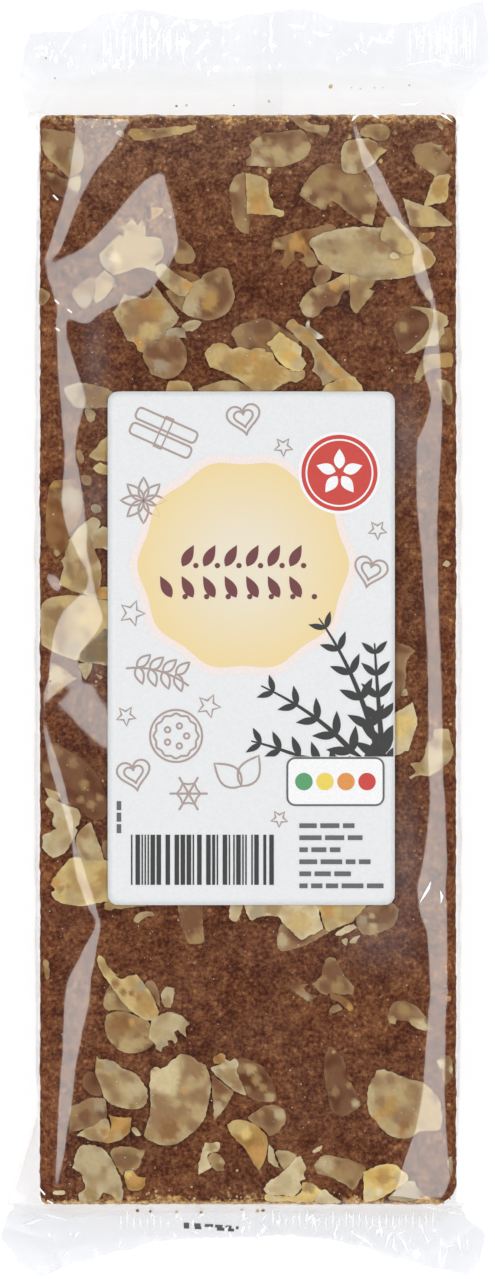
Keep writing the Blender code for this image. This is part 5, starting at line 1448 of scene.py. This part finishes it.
endFin = {
    "name": "film_end_fin", "toward": 1, "seal": 0.45, "droop": 0.0, "cornerDroop": 0.6, "shift": 3,
    "tip": [(-43.2, 121.5), (-34, 121.8), (-27.5, 125.5), (-20.7, 126), (-11, 124.3),
            (-4.5, 123.9), (1.3, 125.2), (11.5, 126.2), (20.3, 123.8), (30, 123.2),
            (36, 123.7), (40, 125.9), (47.7, 127.8)],
    "left": [(0, -40.9), (0.12, -45), (0.45, -45.2), (0.75, -44.4), (1, -43.2)],
    "right": [(0, 41.9), (0.12, 44.6), (0.4, 48.9), (0.75, 48.6), (1, 47.7)],
    "ribs": [(-28.4, -12, 114.6, 122.6), (33, 46, 115.4, 123.4)], "glints": 75,
    "creases": [(-34, 105, -26, 110, 0.5), (-26, 110, -19, 112.6, 0.5), (-8, 111.6, 2, 108.6, 0.5),
                (2, 108.6, 8, 109, 0.4), (10, 106.6, 26, 107.4, 0.5), (28, 113.4, 44, 108.4, 0.6),
                (-44, 116, -38, 107, 0.5), (36, 106, 47, 115, 0.5), (-18, 106.4, -4, 107.4, 0.4),
                (40, 112, 48, 112.6, 0.5), (-30, 116, -22, 109, 0.35), (14, 112, 22, 108, 0.35)],
}
footFin = {
    "name": "film_foot_fin", "toward": -1, "seal": 0.30, "droop": 6.0, "cornerDroop": 2.6, "shift": 9,
    "tip": [(-41.7, -127.8), (-33, -124.9), (-25, -122.8), (-17.7, -120.9), (-10.5, -120.4),
            (1, -120.2), (7, -119.7), (16, -120.4), (23, -121.9), (30, -124.2),
            (38.5, -126.2), (44.9, -127.5)],
    "left": [(0, -40.9), (0.15, -47.8), (0.45, -48.9), (0.75, -46), (1, -41.7)],
    "right": [(0, 41.9), (0.15, 44), (0.45, 48), (0.75, 47.2), (1, 44.9)],
    "ribs": [(-25, -16, -114.4, -118.4), (5.5, 38, -114.2, -118.2)], "glints": 60,
    "creases": [(-40, -113.6, -34, -116, 0.7), (-36, -117, -30, -115, 0.6),
                (-48, -118, -38, -121, 0.6), (-44, -112, -38, -126, 0.5),
                (-20, -115.6, 20, -115.2, 0.4), (24, -114.6, 40, -116, 0.5),
                (38, -124, 46, -118, 0.6), (30, -122, 36, -116, 0.5)],
}
finShape = {
    "columns": 380, "rows": 44, "height": 7.6, "wave": 0.4, "waveLength": 27, "layerGap": 0.12,
    "ribPitch": 1.335, "ribDepth": 0.02, "creaseWidth": 0.8,
    "crinkles": ((5.5, 0.16), (2.3, 0.07)), "crinkleStretch": 1.8, "openCrinkle": 0.35,
    "sealFrom": 0.8, "sealFade": 0.15, "ribPatch": 9, "ribPatchShare": (0.5, 1.2),
    "tipNoise": 0.35, "tipGrain": 1.7, "openCurve": 1.5, "rimSteepness": 12, "reliefFrom": 0.12,
    "ridgeReach": 0.7,
}


def segmentDistance(x, y, crease):
    startX, startY, endX, endY = crease[:4]
    run = Vector((endX - startX, endY - startY))
    off = Vector((x - startX, y - startY))
    share = min(max(off.dot(run) / run.length_squared, 0.0), 1.0)
    return (off - run * share).length


def finRelief(fin, x, y, share):
    sealed = smooth((share - fin["seal"] * finShape["sealFrom"]) / finShape["sealFade"])
    spot = Vector((x, y, fin["shift"]))
    relief = 0.0
    for size, depth in finShape["crinkles"]:
        along = y / (size * finShape["crinkleStretch"])
        relief -= depth * abs(noise.noise(Vector((x / size, along, fin["shift"]))))
    relief *= mix(finShape["openCrinkle"], 1, sealed)
    base, byPatch = finShape["ribPatchShare"]
    ribStrength = smooth(base + byPatch * noise.noise(spot / finShape["ribPatch"]))
    rib = math.cos(math.tau * x / finShape["ribPitch"])
    relief += sealed * ribStrength * finShape["ribDepth"] * rib
    for crease in fin["creases"]:
        relief += crease[4] * math.exp(-segmentDistance(x, y, crease) / finShape["creaseWidth"])
    return relief


def finStart(fin):
    return bar["centre"][1] + fin["toward"] * (bar["length"] / 2 + sleeve["gap"])


def finPoint(fin, across, share, upper, columns, heights):
    # across runs from -1 to 1 over one half of the flattened tube, share from the bar to the tip.
    row = -1 if fin["toward"] > 0 else 0
    endY = finStart(fin)
    side = 1 if across > 0 else -1
    halfWidth = (columns[-1] - columns[0]) / 2
    edgeZ = heights[row, -1 if side > 0 else 0]
    arc = abs(across) * (halfWidth + edgeZ / 2)
    if arc <= halfWidth:
        openX = bar["centre"][0] + side * arc
        openZ = np.interp(openX, columns, heights[row]) if upper else sleeve["underside"]
    else:
        level = (arc - halfWidth) / edgeZ
        level = 1 - level if upper else level
        openX, openZ = filmSide(side, endY, level, columns[-1 if side > 0 else 0], edgeZ)
    left = readLine(fin["left"], share)
    right = readLine(fin["right"], share)
    half = across / 2 + 0.5
    tipX = mix(fin["tip"][0][0], fin["tip"][-1][0], half)
    tipY = readLine(fin["tip"], tipX)
    tipY += finShape["tipNoise"] * noise.noise(Vector((tipX / finShape["tipGrain"], 4, 0)))
    x = mix(left, right, half)
    y = mix(endY, tipY, share)
    opened = max(0.0, 1 - share / fin["seal"]) ** finShape["openCurve"]
    wave = math.sin(x / finShape["waveLength"] * math.tau)
    droop = mix(fin["droop"], fin["cornerDroop"], abs(2 * half - 1) ** 2)
    flatZ = finShape["height"] + (finShape["wave"] * wave - droop) * smooth(share)
    layers = finShape["layerGap"] / 2 * (1 if upper else -1)
    steep = finShape["rimSteepness"]
    flatZ += layers * min(1.0, steep * (1 - share)) * min(1.0, steep * (1 - abs(across)))
    flatZ += finRelief(fin, x, y, share) * smooth(share / finShape["reliefFrom"])
    place = Vector((mix(x, openX, opened), y, mix(flatZ, openZ, opened)))
    place.z = max(place.z, sleeve["underside"])
    return place


def makeFin(fin, material, columns, heights):
    bm = bmesh.new()
    for upper in (True, False):
        grid = bmesh.ops.create_grid(bm, x_segments=finShape["columns"],
                                     y_segments=finShape["rows"], size=0.5)
        for vertex in grid["verts"]:
            across = vertex.co.x * 2
            share = vertex.co.y + 0.5
            vertex.co = finPoint(fin, across, share, upper, columns, heights)
    bmesh.ops.remove_doubles(bm, verts=bm.verts, dist=0.0005)
    bmesh.ops.recalc_face_normals(bm, faces=bm.faces)
    outward(bm)
    return addPiece(fin["name"], bm, material, crisp=60)


def finRidge(fin, x, y):
    # The highest film near a spot, so that strokes don't follow each small dent.
    steps = (-finShape["ridgeReach"], 0, finShape["ridgeReach"])
    return max(finHeight(fin, x + aside, y + along) for aside in steps for along in steps)


def finHeight(fin, x, y, upper=True):
    end = finStart(fin)
    share = (y - end) / (readLine(fin["tip"], x) - end)
    share = min(max(share, 0.0), 1.0)
    left, right = readLine(fin["left"], share), readLine(fin["right"], share)
    across = min(max(2 * (x - left) / (right - left) - 1, -1.0), 1.0)
    return finPoint(fin, across, share, upper, filmColumns, filmField).z


backSeam = {"low": 1.9, "high": 7.4, "strips": 4, "step": 1.0, "below": 0.08, "inset": 0.4}


def makeSeam(material):
    # The lapped seam along the underside, a little right of its middle, seen through the fins.
    last = [fin["toward"] * abs(readLine(fin["tip"], backSeam["low"])) for fin in (footFin, endFin)]
    count = round((last[1] - last[0]) / backSeam["step"])
    bm = bmesh.new()
    bmesh.ops.create_grid(bm, x_segments=backSeam["strips"], y_segments=count, size=0.5)
    for vertex in bm.verts:
        x = mix(backSeam["low"], backSeam["high"], vertex.co.x + 0.5)
        y = mix(last[0] + backSeam["inset"], last[1] - backSeam["inset"], vertex.co.y + 0.5)
        over = abs(y - bar["centre"][1]) - bar["length"] / 2 - sleeve["gap"]
        z = sleeve["underside"]
        if over > 0:
            z = finHeight(endFin if y > 0 else footFin, x, y, False)
        vertex.co = (x, y, z - backSeam["below"])
    return addPiece("film_back_seam", bm, material)


# Pale strokes on the film and the fins: partly whitened creases, partly painted glints where the film
# mirrors the softboxes. The rows of rib strokes on the fins are painted highlights of the crimp ribs.
glints = {
    "seed": 21, "width": 0.38, "length": (0.6, 2.2), "lift": 0.1, "size": (0.6, 1.3),
    "turn": (90, 35), "bow": 0.1, "farthest": 0.97, "tipShare": 0.25, "bellyShare": 1.3, "dash": 0.8,
    "ribSize": 0.55, "ribStart": (0, 0.4), "ribEnd": (0.85, 1.05), "ribSteps": 6, "ribWander": 0.05,
    "onSleeve": [
        [(21.2, 103.3), (21.7, 104.1), (22.8, 104.8)], [(24.9, 105), (25.7, 104.6), (26.6, 103.9)],
        [(-38.1, 67.7), (-37.2, 66.9)], [(-35.5, 65.8), (-34.6, 65.1)], [(-37.9, 62.1), (-37.1, 61.5)],
        [(-38.4, 88.6), (-37.4, 87.6)], [(38.6, 104.9), (39.8, 104.3), (41.3, 103.2)],
        [(-41.1, -109.6), (-40, -110.9)], [(-39.6, -112), (-38.4, -112.7)],
        [(37, -48.4), (36.6, -49.6), (35.9, -50.8), (34.8, -52.6)],
        [(38.9, -50.2), (39.2, -51.4), (39, -52.8)],
    ],
    "onFins": [      # how wide, then the line
        (1, [(29.9, 107.2), (31.6, 106.7), (33.6, 106.9), (35.2, 107.4)]),
        (1, [(-41, -114.6), (-38.4, -115.6), (-34.8, -116.6)]),
        (1, [(-45, -117.5), (-42.6, -116.9), (-40.8, -116)]),
        (1, [(-42.4, -125.8), (-40.6, -126.3), (-38.4, -125.4)]),
        (0.6, [(30, 114.6), (38, 116), (46.6, 114.2)]),
        (1.1, [(-26.5, 122.3), (-26.6, 124.3), (-25.4, 125.2), (-23.8, 124.9), (-24.8, 124)]),
        (0.9, [(-21.9, 125.4), (-22, 124), (-22.6, 122.6)]),
        (0.9, [(-20.1, 125), (-20.2, 121.8), (-20.1, 118.8), (-19.9, 116)]),
        (2.8, [(-18.8, 124.8), (-18.1, 123.3), (-17.9, 121.8)]),
        (1, [(-17.1, 122.3), (-17.4, 120.3), (-18.8, 118.4), (-19.3, 119.5)]),
        (1, [(-15.2, 122.3), (-15.8, 120.3), (-15.5, 118.3), (-15.1, 116.3)]),
        (1, [(-15.1, 122.5), (-14.1, 123.5), (-12.6, 123.8), (-11.9, 122.8)]),
        (3, [(-11.1, 123.4), (-10.3, 122.6), (-10.7, 121.7)]),
        (0.9, [(-8.2, 123.5), (-8.1, 122.9), (-8, 122.3)]),
        (1.5, [(-6.8, 123.5), (-6, 123.4), (-5.1, 123)]),
        (1.2, [(-2, 123.5), (-3.1, 122.8), (-4.3, 122.6)]),
        (3, [(-14, 119.5), (-12.4, 119.3), (-10.9, 119.6)]),
        (1.2, [(-12.8, 118.6), (-12.6, 117.8), (-12.3, 117)]),
        (1.3, [(-7.7, 120.5), (-8.8, 118.6), (-10.1, 117)]),
        (2.4, [(-6.6, 113.8), (-5.9, 114.3), (-5.1, 114.7)]),
        (1.3, [(-2.1, 120.3), (-1.6, 120.4), (-1.1, 120.7)]),
        (1.2, [(-26.6, 114.3), (-26.2, 114.8), (-25.8, 115.3)]),
        (1.4, [(-42.6, 118.3), (-41, 118.5), (-39.6, 118.4)]),
        (0.9, [(-37.1, 117.3), (-35.9, 119.3), (-35.1, 120.8)]),
        (0.8, [(4.9, 124.6), (5.2, 122), (5, 119.4), (5.4, 117.4)]),
        (1.5, [(8.6, 123.2), (9.8, 122.6), (11.8, 122.8)]), (1, [(13.6, 121.8), (15, 121), (17.2, 121.2)]),
        (1.4, [(24.8, 120.6), (26.6, 120), (29.6, 119.4)]),
        (0.8, [(39, 123.4), (38.8, 120), (39.1, 116.6)]),
        (0.9, [(41.4, 124.8), (41.1, 121), (41.3, 117.2)]),
        (0.9, [(43.9, 125), (44.1, 121), (44.3, 116.4)]), (0.9, [(46, 126), (46, 121.6), (45.9, 116.4)]),
        (0.8, [(13.6, -115.2), (13.9, -117), (14.3, -119.4)]),
        (0.9, [(18.3, -116.7), (18.4, -118.2), (17.6, -119.6)]),
        (1, [(21.1, -118.9), (22.4, -119.7), (24.4, -120.9), (25.9, -122)]),
        (1, [(24, -120.4), (23.2, -121.4), (22.6, -122)]),
        (1, [(28.2, -122), (28.7, -119.8), (29.7, -118.8)]),
        (1.1, [(29.8, -119.8), (29.7, -122), (30.4, -123)]),
        (1, [(30.8, -119.7), (31.9, -121.2), (32.9, -123.6)]),
        (3.6, [(34.4, -122.4), (34.3, -123.4), (34.1, -124.4)]),
        (1, [(35.9, -119.2), (36.6, -121), (37.6, -120.2)]),
        (1, [(39.1, -122.2), (38.9, -124), (38.7, -125.6)]),
        (1, [(40.6, -122.2), (40, -124), (39.7, -125.8)]),
        (1, [(42.6, -119.2), (42.8, -121), (43.4, -123.2)]),
        (0.8, [(35.4, -113.2), (39.6, -114.4), (43.8, -115.4)]),
        (0.8, [(44.2, -119.6), (44.6, -121.4), (44.2, -123)]),
        (0.8, [(43.2, -112.8), (43.5, -114), (43.8, -115.2)]),
    ],
}


def spindle(points, size=1.0):
    # Widens a line towards its middle.
    last = len(points) - 1
    if last == 1:
        return [(x, y, glints["dash"] * size) for x, y in points]
    tip, belly = glints["tipShare"], glints["bellyShare"]
    return [(x, y, size * (tip + belly * math.sin(math.pi * number / last)))
            for number, (x, y) in enumerate(points)]


def makeGlints(material):
    draw = random.Random(glints["seed"])
    layStrokes("film_crease_painted_glints", [(spindle(line), False) for line in glints["onSleeve"]],
               glints["width"], material, lambda x, y: filmHeight(x, y) + glints["lift"])
    for fin in (endFin, footFin):
        lines = [line for line in glints["onFins"] if line[1][0][1] * fin["toward"] > 0]
        for low, high, near, far in fin["ribs"]:
            for number in range(math.floor((high - low) / finShape["ribPitch"]) + 1):
                x = low + number * finShape["ribPitch"]
                start = draw.uniform(*glints["ribStart"])
                end = draw.uniform(*glints["ribEnd"])
                steps = glints["ribSteps"]
                line = [(x + draw.gauss(0, glints["ribWander"]),
                         mix(near, far, mix(start, end, step / steps))) for step in range(steps + 1)]
                lines.append((glints["ribSize"], line))
        for number in range(fin["glints"]):
            x = draw.uniform(fin["tip"][0][0] + 1, fin["tip"][-1][0] - 1)
            share = draw.uniform(fin["seal"], glints["farthest"])
            y = mix(bar["centre"][1] + fin["toward"] * bar["length"] / 2, readLine(fin["tip"], x), share)
            turn = draw.gauss(*glints["turn"])
            length = draw.uniform(*glints["length"])
            line = placed([(-length / 2, 0), (0, glints["bow"]), (length / 2, 0)], (x, y), turn)
            lines.append((draw.uniform(*glints["size"]), line))
        layStrokes(fin["name"] + "_crease_painted_glints", [(spindle(line, size), False) for size, line in lines],
                   glints["width"], material,
                   lambda x, y: finRidge(fin, x, y) + glints["lift"])


stamp = {
    "lengths": (1.1, 1.3, 1.7, 1.5, 1.2, 0.5), "start": (-12.4, -117.4), "step": (2.1, 0.16),
    "rowPitch": 0.62, "rowShift": 0.12, "slant": 0.05, "width": 0.62,
}


def makeMarks(material):
    # Two short rows of worn dark dashes stamped on the foot fin, with gaps in the second one.
    dashes = []
    for number, length in enumerate(stamp["lengths"]):
        x = stamp["start"][0] + number * stamp["step"][0]
        y = stamp["start"][1] - number * stamp["step"][1]
        for row in range(2 - number % 3 // 2):
            start = x + stamp["rowShift"] * row * number
            level = y - stamp["rowPitch"] * row
            dashes.append(([(start, level), (start + length, level - stamp["slant"])], False))
    layStrokes("film_stamp", dashes, stamp["width"], material,
               lambda x, y: finHeight(footFin, x, y) + glints["lift"])


def clearFilm(name, tint, index, roughness, haze, bloom=None):
    # Oriented polypropylene film: clear and glossy. One sheet of the mesh stands for both
    # faces of the film, so its mirror strength is that of two surfaces. Where it is sealed
    # and crinkled it is cooler, milkier and less sharp in what it mirrors. Bloom is where
    # along the pack the milkiness of the ends starts and is full, in metres, and how much.
    material, tree, surface, place = newMaterial(name)
    cast = addNode(tree, "TexNoise", {"Scale": 60.0, "Detail": 3.0}, {"Vector": place})
    milky = addNode(tree, "MapRange", {1: 0.4, 2: 0.7, 3: 0.0, 4: haze}, {0: cast})
    if bloom:
        along = addNode(tree, "SeparateXYZ", links={0: place})
        fromMiddle = addNode(tree, "Math", links={0: along.outputs[1]}, operation="ABSOLUTE")
        ends = addNode(tree, "MapRange", {1: bloom[0], 2: bloom[1], 3: 0.0, 4: bloom[2]},
                       {0: fromMiddle})
        milky = addNode(tree, "Math", links={0: milky, 1: ends})
    veil = addNode(tree, "Attribute", attribute_name="filmVeil")
    milky = addNode(tree, "Math", links={0: milky, 1: veil.outputs["Fac"]})
    clear = addNode(tree, "BsdfTransparent", {"Color": (*tint, 1)})
    dust = addNode(tree, "BsdfDiffuse", {"Color": (0.82, 0.84, 0.89, 1)})
    body = addNode(tree, "MixShader", links={0: milky, 1: clear, 2: dust})
    gloss = addNode(tree, "BsdfGlossy", {"Color": (1, 1, 0.975, 1), "Roughness": roughness})
    seenInside = addNode(tree, "NewGeometry").outputs["Backfacing"]   # keeps both sides alike
    turned = addNode(tree, "MapRange", {3: index, 4: 1 / index}, {0: seenInside})
    mirror = addNode(tree, "Fresnel", links={0: turned})
    shader = addNode(tree, "MixShader", links={0: mirror, 1: body, 2: gloss})
    tree.links.new(shader.outputs[0], surface)
    return material


def creaseAndPaintedGlint():
    # Polypropylene whitened where it was folded sharply or crimped: pale and satin. It also glows faintly,
    # which is painted light, so its strokes stand in for painted glints where the film would mirror the
    # softboxes.
    material, tree, surface, place = newMaterial("paintedGlintOnCreasedFilm")
    grain = addNode(tree, "TexNoise", {"Scale": 900.0}, {"Vector": place})
    color = addNode(tree, "ValToRGB", links={0: grain}, ramp=((0.3, "f6f8fa"), (0.7, "fdfdfe")))
    # The faint emission is painted light: a glow that keeps the strokes as bright as glints.
    shader = addNode(tree, "BsdfPrincipled", {"Roughness": 0.3, "IOR": 1.5,
                                              "Emission Color": (1, 1, 1, 1), "Emission Strength": 0.12},
                     {"Base Color": color})
    tree.links.new(shader.outputs[0], surface)
    return material


# The floor, the lights and the camera

studio = {
    "boxHeight": 1.0, "boxInner": 0.17, "boxOuter": 0.6, "boxLength": 1.4, "radiance": 3.5,
    "floorHalf": 3.0, "cameraHeight": 2.4, "viewCentre": (0.4, -0.1), "viewLength": 255.8,
    "viewPlane": 0.012, "sensor": 36.0,
}


def makeStudio():
    floor = bmesh.new()
    bmesh.ops.create_grid(floor, x_segments=1, y_segments=1, size=studio["floorHalf"])
    mesh = bpy.data.meshes.new("floor")
    floor.to_mesh(mesh)
    floor.free()
    material, tree, surface, place = newMaterial("paleFloor")
    grain = addNode(tree, "TexNoise", {"Scale": 300.0}, {"Vector": place})
    color = addNode(tree, "ValToRGB", links={0: grain}, ramp=((0.3, "979798"), (0.7, "9a9a9b")))
    shader = addNode(tree, "BsdfPrincipled", {"Roughness": 0.9, "Specular IOR Level": 0.0,
                                              "Emission Color": (1, 1, 1, 1), "Emission Strength": 0.8},
                     {"Base Color": color})
    tree.links.new(shader.outputs[0], surface)
    mesh.materials.append(material)
    addObject("floor", mesh)

    width = studio["boxOuter"] - studio["boxInner"]
    for side in (-1, 1):
        light = bpy.data.lights.new("softbox", "AREA")
        light.shape = "RECTANGLE"
        light.size = width
        light.size_y = studio["boxLength"]
        light.energy = studio["radiance"] * math.pi * width * studio["boxLength"]
        lamp = addObject("softbox", light)
        lamp.location = (side * (studio["boxInner"] + width / 2), 0, studio["boxHeight"])
        lamp.visible_camera = False

    world = bpy.data.worlds.new("studio")
    world.use_nodes = True
    tree = world.node_tree
    tree.nodes.clear()
    direction = addNode(tree, "TexCoord").outputs["Generated"]
    upward = addNode(tree, "SeparateXYZ", links={0: direction})
    tone = addNode(tree, "ValToRGB", links={0: upward.outputs[2]},
                   ramp=((0.0, "e4e4e6"), (0.75, "404044"), (0.35, "c8c8cc")))
    sky = addNode(tree, "Background", {"Strength": 1.0}, {"Color": tone})
    output = addNode(tree, "OutputWorld", links={0: sky})
    output.is_active_output = True
    bpy.context.scene.world = world

    camera = bpy.data.cameras.new("camera")
    distance = studio["cameraHeight"] - studio["viewPlane"]
    camera.sensor_width = studio["sensor"]
    camera.lens = studio["sensor"] * distance / (studio["viewLength"] * mm)
    camera.clip_end = 20
    viewer = addObject("camera", camera)
    viewer.location = (studio["viewCentre"][0] * mm, studio["viewCentre"][1] * mm,
                       studio["cameraHeight"])
    bpy.context.scene.camera = viewer
    bpy.context.scene.view_settings.view_transform = "Standard"


makeStudio()
print("floor, lights and camera placed")
filmColumns, filmRows, filmField = filmHeights()
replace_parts(makeBar(bakedSpeculaas()), "clear_bag")
makeFlakes(slicedAlmond())
makeCrumbs(biscuitCrumb())
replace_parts(makeLabel(coatedPaper()), "label")
makePrint()
film = clearFilm("polypropyleneFilm", tint=(0.985, 0.988, 0.992), index=1.82, roughness=0.1, haze=0.008)
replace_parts(makeSleeve(film, filmColumns, filmRows, filmField), "clear_bag")
sealed = clearFilm("crimpedPolypropyleneFilm", tint=(0.957, 0.961, 0.966), index=1.3, roughness=0.3,
                   haze=0.04, bloom=(0.1095, 0.1155, 0.2))
for fin in (endFin, footFin):
    makeFin(fin, sealed, filmColumns, filmField)
lapped = clearFilm("lappedPolypropyleneFilm", tint=(0.978, 0.982, 0.986), index=1.25, roughness=0.3,
                   haze=0.02)
makeSeam(lapped)
# Whitened creases with painted glints, on the sleeve and the fins.
makeGlints(creaseAndPaintedGlint())
makeMarks(printInk("stampInk", "4c4c50"))
